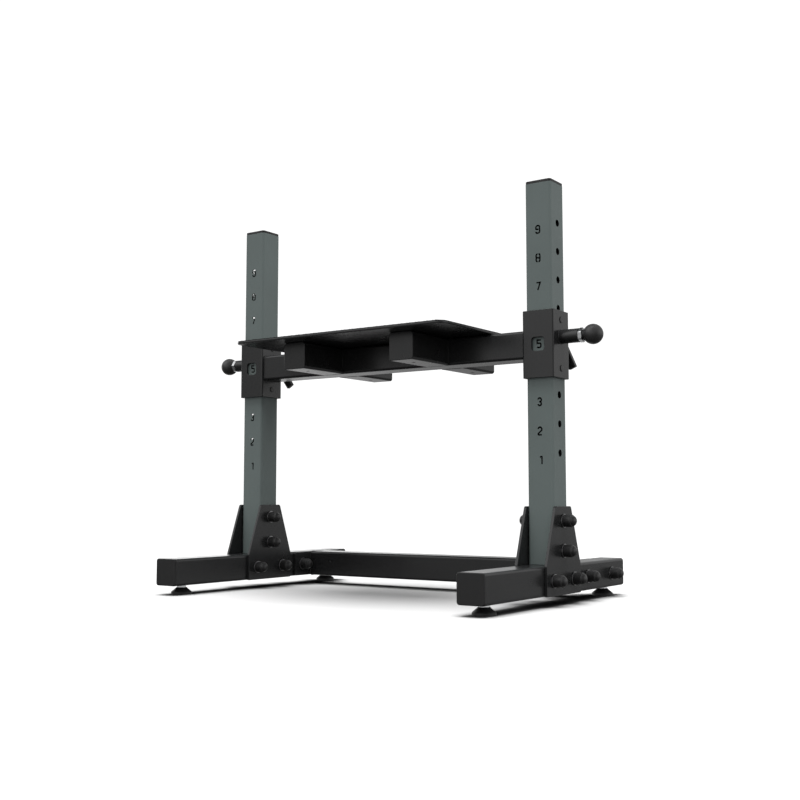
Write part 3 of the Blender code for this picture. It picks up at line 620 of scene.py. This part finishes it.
zc = FLOOR_GAP + TUBE / 2
for side, s in SIDES:
    x = s * U
    # base tube
    body = to_mesh(tube_bm(2 * (FOOT_HALF - CAP_T - GAP), centre=(x, 0, zc), along=Y, up=Z, edge=0.0003))
    tools = bmesh.new()
    for y in (*GUSSET_BOLT_Y, *FLANGE_BOLT_Y):
        lathe(tools, [(0, 0.045), (BOLT_HOLE / 2, 0.045), (BOLT_HOLE / 2, -0.045), (0, -0.045)], 24,
              (x, y, BASE_BOLT_Z), X)
    for y in (-LEVEL_Y, LEVEL_Y):
        lathe(tools, [(0, 0.01), (0.0054, 0.01), (0.0054, -0.01), (0, -0.01)], 24, (x, y, FLOOR_GAP), Z)
    put(finish(f"base_tube_{side}", cut_mesh(body, tools), BLACK), "base_frame", f"foot_tube_{side}")
    for tag, t in (("front", -1), ("rear", 1)):
        bm = block_bm(TUBE, TUBE, CAP_T, TUBE_R, 0.0018, along=Y * t, up=Z,
                      centre=(x, t * (FOOT_HALF - CAP_T / 2), zc), both=False)
        inside = TUBE - 2 * WALL - 2 * GAP
        block_bm(inside, inside, 0.0125, 0.0028, 0.0006, along=Y, up=Z,
                 centre=(x, t * (FOOT_HALF - CAP_T - 0.0058), zc), bm=bm)
        put(finish(f"base_end_cap_{tag}_{side}", to_mesh(bm), CAP), "base_frame",
            f"foot_cap_{tag}_{side}")
    # upright and its cap
    put(finish(f"numbered_upright_{side}", upright_mesh(x, s), [GREY, RECESS_SHADE]), "base_frame", f"upright_{side}")
    bm = block_bm(TUBE - 0.0006, TUBE - 0.0006, TOP_CAP_T + CAP_LIP, TUBE_R, 0.0012, along=Z, up=Y,
                  centre=(x, 0, UPRIGHT_TOP + GAP + (TOP_CAP_T - CAP_LIP) / 2), both=False)
    block_bm(inside, inside, 0.0125, 0.0028, 0.0006, along=Z, up=Y, centre=(x, 0, UPRIGHT_TOP - 0.0055), bm=bm)
    put(finish(f"upright_top_cap_{side}", to_mesh(bm), CAP), "base_frame", f"upright_cap_{side}")
    # gussets
    edge = [(-GUSSET_FOOT, FLOOR_GAP), (GUSSET_FOOT, FLOOR_GAP), (GUSSET_FOOT, GUSSET_KNEE),
            (GUSSET_NECK, GUSSET_TOP), (-GUSSET_NECK, GUSSET_TOP), (-GUSSET_FOOT, GUSSET_KNEE)]
    outline = soften(edge, (0.002, 0.002, 0.006, 0.006, 0.006, 0.006), 6)
    holes = [circle(BOLT_HOLE / 2, 32, y, BASE_BOLT_Z) for y in GUSSET_BOLT_Y]
    holes += [circle(BOLT_HOLE / 2, 32, 0.0, z) for z in UPRIGHT_BOLT_Z]
    for tag, t in (("outer", s), ("inner", -s)):
        mesh = plate_mesh([outline, *holes], PLATE_T, 0.0006, X,
                          (x + t * (TUBE / 2 + GAP + PLATE_T / 2), 0, 0))
        put(finish(f"gusset_plate_{tag}_{side}", mesh, BLACK), "base_frame", f"gusset_{tag}_{side}")
    # crossbar flange
    outline = [(u + BAR_Y, v + zc) for u, v in rounded(2 * FLANGE_HALF, TUBE - 0.002, 0.006, 6)]
    holes = [circle(BOLT_HOLE / 2, 32, y, BASE_BOLT_Z) for y in FLANGE_BOLT_Y]
    mesh = plate_mesh([outline, *holes], PLATE_T, 0.0006, X,
                      (x - s * (TUBE / 2 + GAP + PLATE_T / 2), 0, 0))
    put(finish(f"flange_plate_{side}", mesh, BLACK), "base_frame", f"crossbar_flange_{side}")
    # bolts
    wide = TUBE / 2 + PLATE_T
    for tag, z in zip(("lower", "upper"), UPRIGHT_BOLT_Z):
        put(finish(f"covered_bolt_upright_{tag}_{side}", bolt_mesh(x, 0, z, wide, wide, s), [COVER, WASHER]),
            "base_frame", f"upright_bolt_{tag}_{side}")
    for tag, y in zip(("front", "rear"), GUSSET_BOLT_Y):
        put(finish(f"covered_bolt_gusset_{tag}_{side}", bolt_mesh(x, y, BASE_BOLT_Z, wide, wide, s), [COVER, WASHER]),
            "base_frame", f"gusset_bolt_{tag}_{side}")
    for tag, y in zip(("front", "rear"), FLANGE_BOLT_Y):
        put(finish(f"covered_bolt_crossbar_{tag}_{side}",
                   bolt_mesh(x, y, BASE_BOLT_Z, wide, TUBE / 2 - GAP, s), [COVER, WASHER]),
            "base_frame", f"crossbar_bolt_{tag}_{side}")
    # levelling feet
    for tag, y in (("front", -LEVEL_Y), ("rear", LEVEL_Y)):
        name = f"levelling_foot_{tag}_{side}"
        put(finish(f"{name}_fine", pad_mesh(x, y), [PAD, ZINC]), name, name)

bar_half = U - TUBE / 2 - PLATE_T - 2 * GAP
bm = tube_bm(2 * bar_half, centre=(0, BAR_Y, zc), along=X, up=Z, edge=0.0003)
for s in (-1, 1):
    path = [Vector((s * (bar_half - 0.0006), BAR_Y + u, zc + v)) for u, v in rounded(TUBE, TUBE, TUBE_R, 4)]
    bead(bm, path, 0.0010, ripple=0.10, seed=3 + s)
put(finish("rear_crossbar_tube", to_mesh(bm), BLACK), "base_frame", "rear_crossbar")


# ------------------------------------------------------------------ carriage
def hex_ring(r_flat, spin, scale_to, x, s, cz):
    """Hexagon with its corners turned off at a radius, 8 points a side."""
    ring = []
    for k in range(48):
        a = 2 * math.pi * k / 48
        local = (a % (math.pi / 3)) - math.pi / 6
        r = min(r_flat / math.cos(local), scale_to)
        ring.append(Vector((x, r * math.cos(a + spin), cz + r * math.sin(a + spin))))
    return ring


def ringed(bm, rows, closed=False):
    made = [[bm.verts.new(p) for p in ring] for ring in rows]
    pairs = list(zip(made, made[1:])) + ([(made[-1], made[0])] if closed else [])
    n = len(made[0])
    for a, b in pairs:
        for i in range(n):
            bm.faces.new((a[i], a[(i + 1) % n], b[(i + 1) % n], b[i]))


for side, s in SIDES:
    x = s * U
    z0, z1 = COLLAR_Z
    cz, h = (z0 + z1) / 2, z1 - z0
    width, height, corner, wz = WINDOW
    # collar
    body = to_mesh(tube_bm(h, COLLAR, COLLAR_WALL, 0.0045, 0.0009, centre=(x, 0, cz), along=Z, up=Y))
    tools = bmesh.new()

    def window(tools, w, hh, r, y, depth):
        rings = [[Vector((x + u, yy, wz + v)) for u, v in rounded(w, hh, r, 8)]
                 for yy in (y - depth / 2, y + depth / 2)]
        loft(tools, rings)

    window(tools, width, height, corner, -COLLAR / 2, 0.02)
    # a small rounding at the window's outer edge
    lip = 0.0008
    rows = []
    for k in range(5):
        a = math.radians(90 * k / 4)
        grow = lip * (1 - math.sin(a)) * 1.0
        rows.append((grow, -COLLAR / 2 + lip * (1 - math.cos(a))))
    rings = [[Vector((x + u, -COLLAR / 2 - 0.002, wz + v)) for u, v in rounded(width + 2 * lip, height + 2 * lip, corner + lip, 8)]]
    rings += [[Vector((x + u, y, wz + v)) for u, v in rounded(width + 2 * g, height + 2 * g, corner + g, 8)]
              for g, y in rows]
    tools_lip = bmesh.new()
    loft(tools_lip, rings)
    for z in PLUG_Z:
        lathe(tools, [(0, 0.05), (0.0068, 0.05), (0.0068, -0.05), (0, -0.05)], 40, (x, 0, z), X)
    lathe(tools, [(0, 0.01), (PIN_R + 0.0006, 0.01), (PIN_R + 0.0006, -0.01), (0, -0.01)], 36,
          (x + s * COLLAR / 2, 0, HOLE_5), X)
    # the clamp stud's hole in the rear wall
    lathe(tools, [(0, 0.02), (0.0063, 0.02), (0.0063, -0.02), (0, -0.02)], 36, (x, 0.045, LEVER_Z), Y)
    mesh = cut_mesh(cut_mesh(body, tools), tools_lip)
    # boss for the clamp stud, with a weld fillet at its foot
    bm = bmesh.new()
    boss = [(0.0064, BOSS_END - 0.0004), (0.0068, BOSS_END), (0.0122, BOSS_END)]
    boss += arc(0.0122, BOSS_END - 0.0008, 0.0008, 90, 0, 4)
    boss += [(0.0130, COLLAR / 2 + 0.0024)] + arc(0.0152, COLLAR / 2 + 0.0022, 0.0022, 180, 262, 4)
    boss += [(0.0152, COLLAR / 2 - 0.0006), (0.0064, COLLAR / 2 - 0.0006)]
    lathe(bm, boss, 48, (x, 0, LEVER_Z), Y, closed=True)
    mesh = add_mesh(mesh, to_mesh(bm))
    put(finish(f"sliding_collar_{side}", mesh, BLACK), "carriage", f"collar_{side}")
    # glide liner, with its round locking studs showing in the collar's sides
    inner, outer = TUBE + 0.0008, COLLAR - 2 * COLLAR_WALL - 2 * GAP
    body = to_mesh(tube_bm(h - 0.004, outer, (outer - inner) / 2, 0.0030, 0.0002, 4,
                           centre=(x, 0, cz), along=Z, up=Y))
    tools = bmesh.new()
    window(tools, width, height, corner, -COLLAR / 2, 0.02)
    lathe(tools, [(0, 0.01), (PIN_R + 0.0006, 0.01), (PIN_R + 0.0006, -0.01), (0, -0.01)], 36,
          (x + s * COLLAR / 2, 0, HOLE_5), X)
    lathe(tools, [(0, 0.02), (0.0063, 0.02), (0.0063, -0.02), (0, -0.02)], 36, (x, 0.045, LEVER_Z), Y)
    mesh = cut_mesh(body, tools)
    bm = bmesh.new()
    for z in PLUG_Z:
        for t in (-1, 1):
            lathe(bm, [(0, 0.0067), (0.0058, 0.0067), (0.0062, 0.0065), (0.0064, 0.0061),
                       (0.0064, 0.0002), (0, 0.0002)], 40,
                  (x + t * (TUBE / 2 + 0.0008), 0, z), X * t)
    mesh = add_mesh(mesh, to_mesh(bm))
    put(finish(f"glide_liner_{side}", mesh, GLIDE), "carriage", f"collar_liner_{side}")
    # pull pin
    at, out = (x, 0, HOLE_5), X * s
    a, b = BARREL
    bm = bmesh.new()
    barrel = [(BARREL_BORE, b - 0.0004), (BARREL_BORE + 0.0004, b)]
    barrel += arc(BARREL_R - 0.0012, b - 0.0012, 0.0012, 90, 0, 5)
    barrel += [(BARREL_R, a + 0.0016)] + arc(BARREL_R + 0.0014, a + 0.0014, 0.0014, 180, 255, 4)
    barrel += [(BARREL_R + 0.0014, a), (BARREL_BORE, a)]
    lathe(bm, barrel, 64, at, out, closed=True)
    put(finish(f"pull_pin_barrel_{side}", to_mesh(bm), BLACK), "carriage", f"pin_barrel_{side}")
    bm = bmesh.new()
    h0, h1 = b + GAP, HEX_END
    spin = HEX_TURN[side]
    top_r, corner_r, cham = HEX_AF / 2 - 0.0003, HEX_AF / math.sqrt(3) - 0.00025, 0.0014
    rows = [(h0, top_r + 0.0004), (h0 + 0.0003, corner_r - 0.0008), (h0 + 0.0008, corner_r),
            (h1 - cham, corner_r), (h1 - cham * 0.5, corner_r - 0.0007), (h1 - 0.0001, top_r)]
    rings = [hex_ring(HEX_AF / 2, spin, r, x + s * d, s, HOLE_5) for d, r in rows]
    bore = ROD_R + 0.0004
    def disc(r, d):
        return [Vector((x + s * d, r * math.cos(2 * math.pi * k / 48 + spin),
                        HOLE_5 + r * math.sin(2 * math.pi * k / 48 + spin))) for k in range(48)]
    spigot = BARREL_BORE - 0.0004
    rings = ([disc(spigot, h0 - 0.0035), disc(spigot, h0 - 0.0001)] + rings
             + [disc(top_r - 0.0006, h1), disc(bore + 0.0004, h1), disc(bore, h1 - 0.0004),
                disc(bore, h0 - 0.0035)])
    ringed(bm, rings, closed=True)
    put(finish(f"hex_plug_{side}", to_mesh(bm), ZINC), "carriage", f"pin_hex_plug_{side}")
    s0, s1 = PIN_SHOULDER
    bm = bmesh.new()
    pin = [(0, BALL_X - 0.001), (ROD_R, BALL_X - 0.001), (ROD_R, s1 + 0.0004), (ROD_R + 0.0004, s1),
           (BARREL_BORE - 0.0008, s1), (BARREL_BORE - 0.0004, s1 - 0.0004), (BARREL_BORE - 0.0004, s0 + 0.0004),
           (BARREL_BORE - 0.0008, s0), (PIN_R, s0), (PIN_R, PIN_NOSE + 0.0014)]
    pin += arc(PIN_R - 0.0012, PIN_NOSE + 0.0012, 0.0012, 0, -90, 4)
    pin += [(0, PIN_NOSE)]
    lathe(bm, pin, 40, at, out)
    put(finish(f"plunger_{side}", to_mesh(bm), ZINC_TURNED), f"pull_pin_{side}", f"pin_plunger_{side}")
    bm = bmesh.new()
    collar_r = 0.0113
    start = math.degrees(math.asin(collar_r / BALL_R))
    neck = HEX_END + 0.0004
    ball = [(0, BALL_X + BALL_R)]
    ball += [(BALL_R * math.sin(math.radians(t)), BALL_X + BALL_R * math.cos(math.radians(t)))
             for t in [180 - start - (180 - start) * (1 - k / 26) for k in range(1, 27)]]
    ball += [(collar_r, neck + 0.0005), (collar_r - 0.0005, neck), (ROD_R + 0.0005, neck),
             (ROD_R + 0.0003, neck + 0.0003), (ROD_R + 0.0003, BALL_X + 0.0004), (0, BALL_X + 0.0004)]
    lathe(bm, ball, 64, at, out)
    put(finish(f"ball_{side}", to_mesh(bm), KNOB, angle=50, weighted=False), f"pull_pin_{side}", f"ball_knob_{side}")
    # spring
    c0, c1 = s1 + 0.0009, h0 - 0.0035 - 0.0009
    bm = bmesh.new()
    rings = []
    coils, per = 8, 28
    for i in range(coils * per + 1):
        t = i / (coils * per)
        ease = t + 0.055 * math.sin(2 * math.pi * t) * -1
        ang = 2 * math.pi * coils * t
        p = Vector((0.0064 * math.cos(ang), 0.0064 * math.sin(ang), c0 + (c1 - c0) * ease))
        n1 = Vector((math.cos(ang), math.sin(ang), 0))
        rings.append([p + n1 * 0.0007 * math.cos(q) + Z * 0.0007 * math.sin(q)
                      for q in [2 * math.pi * k / 10 for k in range(10)]])
    turn = Matrix.Translation(at) @ basis(out, Z)
    loft(bm, [[turn @ p for p in ring] for ring in rings])
    spring = finish(f"coil_spring_{side}", to_mesh(bm), SPRING_STEEL, weighted=False)
    put(spring, "carriage", f"pin_spring_{side}")
    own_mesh(spring)
    # clamp lever
    bm = bmesh.new()
    hub = [(0, 0.0772), (0.0030, 0.0772), (0.0034, 0.0772), (0.0044, 0.0786)]
    hub += [(0.0085, 0.0787)] + arc(0.0092, 0.0755, 0.0032, 82, 8, 5)
    hub += [(0.0126, 0.0700), (0.0131, 0.0620), (0.0134, 0.0560), (0.0134, BOSS_END + 0.0012),
            (0.0128, BOSS_END + 0.0006), (0.0056, BOSS_END + 0.0006)]
    hh = BOSS_END
    while hh > 0.0330:
        hub += [(0.0056, hh), (0.0050, hh - 0.0006)]
        hh -= 0.0012
    hub += [(0.0050, 0.0316), (0.0044, 0.0310), (0, 0.0310)]
    lathe(bm, hub, 48, (0, 0, 0), Y)
    hub_mesh = to_mesh(bm)
    # tapered bar with small edges and a squared end, leaning outwards
    rows, t_arm = [], 0.0106
    for k in range(13):
        t = k / 12
        rows.append((-0.004 + (LEVER_LEN + 0.003) * t, 0.0100 - 0.0017 * t, t_arm, 0.0011))
    rows += [(LEVER_LEN - 0.0004, 0.0082, t_arm - 0.0003, 0.0010), (LEVER_LEN, 0.0077, t_arm - 0.0013, 0.0006)]
    rings = [[Vector((u, v, -d)) for u, v in rounded(2 * w, t, r, 3)] for d, w, t, r in rows]
    bm = bmesh.new()
    loft(bm, rings)
    bmesh.ops.transform(bm, matrix=Matrix.Translation((0, 0.0616, 0)) @ Matrix.Rotation(LEVER_TILT, 4, "X"),
                        verts=bm.verts)
    arm = to_mesh(bm)
    mesh = add_mesh(hub_mesh, arm)
    mesh.transform(Matrix.Translation((x, 0, LEVER_Z)) @ Matrix.Rotation(-LEVER_TURN[side], 4, "Y"))
    put(finish(f"clamp_handle_{side}", mesh, LEVER, angle=40), f"clamp_lever_{side}", f"clamp_lever_{side}")

# crossbeam with its welds
beam_half = U - COLLAR / 2 - GAP
bz = (BEAM_Z[0] + BEAM_Z[1]) / 2
bm = tube_bm(2 * beam_half, centre=(0, 0, bz), along=X, up=Z, edge=0.0003)
for s in (-1, 1):
    path = [Vector((s * (beam_half - 0.0006), u, bz + v)) for u, v in rounded(TUBE, TUBE, TUBE_R, 4)]
    bead(bm, path, 0.0008, ripple=0.10, seed=7 + s)
put(finish("crossbeam_tube", to_mesh(bm), BLACK), "carriage", "carriage_crossbeam")

for tag, t in (("front", -1), ("rear", 1)):
    for side, s in SIDES:
        y0, y1 = TUBE / 2 + GAP, ARM_END
        mid, length = t * (y0 + y1) / 2, y1 - y0
        shell = block_bm(TUBE, TUBE, length, TUBE_R, 0.0014, along=Y * t, up=Z,
                         centre=(s * ARM_X, mid, bz), both=False)
        tools = block_bm(TUBE - 2 * WALL, TUBE - 2 * WALL, length, TUBE_R - WALL, 0.0004,
                         along=Y * t, up=Z, centre=(s * ARM_X, mid - t * WALL, bz), both=False)
        mesh = cut_mesh(to_mesh(shell), tools)
        tools = bmesh.new()
        lathe(tools, [(0, 0.006), (0.0045, 0.006), (0.0045, -0.006), (0, -0.006)], 32,
              (s * ARM_X, t * SCREW_Y, BEAM_Z[0]), Z)
        lathe(tools, [(0, 0.006), (0.0044, 0.006), (0.0044, -0.006), (0, -0.006)], 32,
              (s * ARM_X, t * SCREW_Y, BEAM_Z[1]), Z)
        mesh = cut_mesh(mesh, tools)
        bm = bmesh.new()
        path = [Vector((s * ARM_X + u, t * (y0 + 0.0006), bz + v))
                for u, v in rounded(TUBE - 0.0004, TUBE - 0.0004, TUBE_R, 4)]
        bead(bm, path, 0.0005, ripple=0.10, seed=11 + s + 3 * t)
        mesh = add_mesh(mesh, to_mesh(bm))
        put(finish(f"arm_tube_{tag}_{side}", mesh, BLACK), "carriage", f"deck_arm_{tag}_{side}")

# deck plate, mat and screws
dw, dd, dr = DECK
d0 = BEAM_Z[1] + GAP
d1 = d0 + PLATE_T
spots = [(s * ARM_X, t * SCREW_Y) for s in (-1, 1) for t in (-1, 1)]
mesh = plate_mesh([rounded(dw, dd, dr, 16)] + [circle(0.0044, 32, u, v) for u, v in spots],
                  PLATE_T, 0.0020, Z, (0, 0, (d0 + d1) / 2))
put(finish("deck", mesh, BLACK), "carriage", "deck_plate")

m0 = d1 + GAP
base_t = 0.0007
mesh = plate_mesh([rounded(dw - 0.0016, dd - 0.0016, dr - 0.0008, 16)]
                  + [circle(0.0105, 40, u, v) for u, v in spots],
                  base_t, 0.0002, Z, (0, 0, m0 + base_t / 2))
bm = bmesh.new()
bm.from_mesh(mesh)
step = 0.0105
nx, ny = int((dw - 0.018) / step / 2), int((dd - 0.018) / step / 2)
for i in range(-nx, nx + 1):
    for j in range(-ny, ny + 1):
        u, v = i * step, j * step
        if any(math.hypot(u - a, v - b) < 0.0145 for a, b in spots):
            continue
        ex, ey = abs(u) - (dw / 2 - dr), abs(v) - (dd / 2 - dr)
        if ex > 0 and ey > 0 and math.hypot(ex, ey) > dr - 0.009:
            continue
        turn = math.pi / 4 if (i + j) % 2 else -math.pi / 4
        ca, sa = math.cos(turn), math.sin(turn)
        rings = []
        for shrink, z in ((0.0, m0 + base_t - 0.0001), (0.00012, m0 + MAT_T - 0.0002), (0.0005, m0 + MAT_T)):
            ring = []
            for k in range(12):
                a = 2 * math.pi * k / 12
                p, q = (0.0042 - shrink) * math.cos(a), (0.0013 - shrink) * math.sin(a)
                ring.append(Vector((u + p * ca - q * sa, v + p * sa + q * ca, z)))
            rings.append(ring)
        made = [[bm.verts.new(p) for p in ring] for ring in rings]
        for a, b in zip(made, made[1:]):
            for k in range(12):
                bm.faces.new((a[k], a[(k + 1) % 12], b[(k + 1) % 12], b[k]))
        bm.faces.new(made[-1])
        bm.faces.new(made[0][::-1])
mesh = bpy.data.meshes.new("mat")
bm.to_mesh(mesh)
bm.free()
put(finish("tread_mat", mesh, MAT_RUBBER, weighted=False), "carriage", "deck_grip_mat")

for tag, t in (("front", -1), ("rear", 1)):
    for side, s in SIDES:
        at = (s * ARM_X, t * SCREW_Y, d1)
        bm = bmesh.new()
        hexr = 0.0025
        head = [(0.0030, -0.0004), (0.0078, -0.0004), (0.0080, -0.0006), (0.0040, -0.0044)]
        h = -0.0048
        while h > -0.0098:
            head += [(0.0040, h), (0.0036, h - 0.0005)]
            h -= 0.0010
        head += [(0.0040, -0.0102), (0.0062, -0.0102), (0.0062, -0.0165), (0.0040, -0.0165),
                 (0.0040, -0.0178), (0.0034, -0.0180), (0, -0.0180)]
        lathe(bm, head, 36, at, Z)
        # hexagon socket in the head
        socket = []
        for r, z in ((0.0030, -0.0004), (hexr + 0.0003, -0.0006), (hexr, -0.0028), (0.0004, -0.0032)):
            ring = []
            for k in range(36):
                a = 2 * math.pi * k / 36
                local = (a % (math.pi / 3)) - math.pi / 6
                rr = r if r in (0.0030, 0.0004) else r / math.cos(local)
                ring.append(Vector((at[0] + rr * math.cos(a), at[1] + rr * math.sin(a), at[2] + z)))
            socket.append(ring)
        loft(bm, socket, cap=False)
        bmesh.ops.remove_doubles(bm, verts=bm.verts, dist=1e-6)
        bmesh.ops.holes_fill(bm, edges=[e for e in bm.edges if e.is_boundary], sides=36)
        put(finish(f"countersunk_screw_{tag}_{side}", to_mesh(bm), BOLT_STEEL), "carriage",
            f"deck_screw_{tag}_{side}")

# ------------------------------------------------------------------ floor, light, camera
mat, nt, shader, at = tree("pale_floor")
tone = blend_colour(nt, noise(nt, at, 1.6, 3.0, 0.5), (0.269, 0.269, 0.269), (0.282, 0.282, 0.282))
# Painted shade: ambient occlusion darkens the floor's colour under and beside the frame, a painted contact shadow.
painted_contact_shade = nt.nodes.new("ShaderNodeAmbientOcclusion")
painted_contact_shade.samples = 12
painted_contact_shade.inputs["Distance"].default_value = 0.075
nt.links.new(tone, painted_contact_shade.inputs["Color"])
painted_shade_factor = remap(nt, painted_contact_shade.outputs["AO"], 0.22, 0.70, 0.03, 1.0)
painted_shade_mix = nt.nodes.new("ShaderNodeMix")
painted_shade_mix.data_type = "RGBA"
painted_shade_mix.blend_type = "MULTIPLY"
painted_shade_mix.inputs["Factor"].default_value = 1.0
nt.links.new(tone, painted_shade_mix.inputs["A"])
nt.links.new(painted_shade_factor, painted_shade_mix.inputs["B"])
nt.links.new(painted_shade_mix.outputs["Result"], shader.inputs["Base Color"])
shader.inputs["Roughness"].default_value = 0.95
shader.inputs["Specular IOR Level"].default_value = 0.0
away = nt.nodes.new("ShaderNodeVectorMath")
away.operation = "LENGTH"
nt.links.new(at, away.inputs[0])
far = remap(nt, away.outputs["Value"], 1.2, 4.5, 0.0, 1.0)
glow = nt.nodes.new("ShaderNodeEmission")
glow.inputs["Color"].default_value = (1.0, 1.0, 1.0, 1.0)
glow.inputs["Strength"].default_value = 1.05
mix = nt.nodes.new("ShaderNodeMixShader")
nt.links.new(far, mix.inputs["Fac"])
nt.links.new(shader.outputs["BSDF"], mix.inputs[1])
nt.links.new(glow.outputs["Emission"], mix.inputs[2])
nt.links.new(mix.outputs["Shader"], nt.nodes["Material Output"].inputs["Surface"])
bm = bmesh.new()
bmesh.ops.create_circle(bm, cap_ends=True, segments=96, radius=40.0)
floor = finish("studio_floor", to_mesh(bm), mat, weighted=False)
floor.location.z = -0.0001
floor.visible_glossy = False
floor.visible_diffuse = False

world = bpy.data.worlds.new("studio")
scene.world = world
world.use_nodes = True
wt = world.node_tree
for node in list(wt.nodes):
    wt.nodes.remove(node)
heading = wt.nodes.new("ShaderNodeTexCoord").outputs["Generated"]
path = wt.nodes.new("ShaderNodeLightPath")


def along(direction, scale=1.0, offset=0.0, absolute=False):
    """How far a direction of the sky leans towards another."""
    dot = wt.nodes.new("ShaderNodeVectorMath")
    dot.operation = "DOT_PRODUCT"
    dot.inputs[1].default_value = direction
    wt.links.new(heading, dot.inputs[0])
    value = dot.outputs["Value"]
    if absolute:
        node = wt.nodes.new("ShaderNodeMath")
        node.operation = "ABSOLUTE"
        wt.links.new(value, node.inputs[0])
        value = node.outputs["Value"]
    node = wt.nodes.new("ShaderNodeMath")
    node.operation = "MULTIPLY_ADD"
    node.inputs[1].default_value, node.inputs[2].default_value = scale, offset
    wt.links.new(value, node.inputs[0])
    return node.outputs["Value"]


def ramp(value, stops):
    node = wt.nodes.new("ShaderNodeValToRGB")
    node.color_ramp.interpolation = "EASE"
    while len(node.color_ramp.elements) < len(stops):
        node.color_ramp.elements.new(0.5)
    for el, (pos, level) in zip(node.color_ramp.elements, stops):
        el.position = pos
        el.color = (level, level, level, 1.0)
    wt.links.new(value, node.inputs["Fac"])
    return node.outputs["Color"]


def background(colour, strength):
    node = wt.nodes.new("ShaderNodeBackground")
    node.inputs["Strength"].default_value = strength
    if colour is None:
        node.inputs["Color"].default_value = (1.0, 1.0, 1.0, 1.0)
    else:
        wt.links.new(colour, node.inputs["Color"])
    return node.outputs["Background"]


def choose(fac, a, b):
    node = wt.nodes.new("ShaderNodeMixShader")
    wt.links.new(fac, node.inputs["Fac"])
    wt.links.new(a, node.inputs[1])
    wt.links.new(b, node.inputs[2])
    return node.outputs["Shader"]


def plus(a, b, blend="ADD"):
    node = wt.nodes.new("ShaderNodeMix")
    node.data_type = "RGBA"
    node.blend_type = blend
    node.inputs["Factor"].default_value = 1.0
    wt.links.new(a, node.inputs["A"])
    wt.links.new(b, node.inputs["B"])
    return node.outputs["Result"]


# reflections: soft panels all round, brightest at the horizon, and a key panel high on the left
band = ramp(along((0, 0, 1), 0.5, 0.5), [(0.0, 0.16), (0.38, 0.36), (0.475, 0.48), (0.535, 1.0),
                                         (0.70, 0.95), (0.87, 0.25), (1.0, 0.10)])
front = ramp(along((-0.09, -0.996, 0.0)), [(0.0, 0.22), (0.55, 0.12), (0.74, 0.14), (0.93, 0.82), (1.0, 0.90)])
back = ramp(along((0.17, 0.985, 0.0)), [(0.0, 0.22), (0.50, 0.32), (0.66, 0.37), (0.80, 0.35), (0.95, 0.42), (1.0, 0.44)])
left_panel = ramp(along((-0.93, 0.36, 0.05)), [(0.0, 0.0), (0.78, 0.0), (0.91, 0.85), (1.0, 1.0)])
right_panel = ramp(along((0.93, 0.35, 0.10)), [(0.0, 0.0), (0.78, 0.0), (0.89, 0.55), (1.0, 1.0)])
key_panel = ramp(along((-0.45, -0.55, 0.70)), [(0.0, 0.0), (0.82, 0.0), (0.92, 1.1), (1.0, 1.9)])
level = plus(plus(plus(plus(front, back), left_panel), right_panel), band, "MULTIPLY")
top_panel = ramp(along((-0.73, 0.66, 0.17)), [(0.0, 0.0), (0.93, 0.0), (0.975, 0.42), (1.0, 0.62)])
low_panel = ramp(along((-0.56, 0.67, -0.48)), [(0.0, 0.0), (0.925, 0.0), (0.98, 0.55), (1.0, 0.72)])
reflect = background(plus(plus(plus(level, key_panel), top_panel), low_panel), 1.0)
# everything matt is lit by a wide dome, dim below the horizon
matt = background(ramp(along((0, 0, 1), 0.5, 0.5), [(0.0, 0.10), (0.45, 0.22), (0.52, 0.70), (0.75, 0.85),
                                                    (1.0, 1.0)]), 1.6)
surface = choose(path.outputs["Is Diffuse Ray"], reflect, matt)
surface = choose(path.outputs["Is Camera Ray"], surface, background(None, 1.1))
world.cycles.sampling_method = "NONE"
wout = wt.nodes.new("ShaderNodeOutputWorld")
wt.links.new(surface, wout.inputs["Surface"])


overhead = bpy.data.lights.new("overhead_panel", "SUN")
overhead.energy = 10.2
overhead.angle = math.radians(45)
lamp = bpy.data.objects.new("overhead_panel", overhead)
scene.collection.objects.link(lamp)
lamp.rotation_euler = (0.0, 0.0, 0.0)
lamp.visible_glossy = False

AZ, PITCH_UP = math.radians(34.907), math.radians(4.992)
cam_data = bpy.data.cameras.new("camera")
cam_data.sensor_width = 36.0
cam_data.lens = 49.82
cam_data.clip_start, cam_data.clip_end = 0.05, 200.0
cam = bpy.data.objects.new("camera", cam_data)
scene.collection.objects.link(cam)
cam.location = (1.4565, -2.0506, 0.2189)
look = Vector((-math.sin(AZ) * math.cos(PITCH_UP), math.cos(AZ) * math.cos(PITCH_UP), math.sin(PITCH_UP)))
cam.rotation_euler = look.to_track_quat("-Z", "Y").to_euler()
scene.camera = cam

scene.view_settings.view_transform = "Standard"
scene.view_settings.look = "None"
scene.view_settings.exposure = 0.0
scene.view_settings.gamma = 1.0
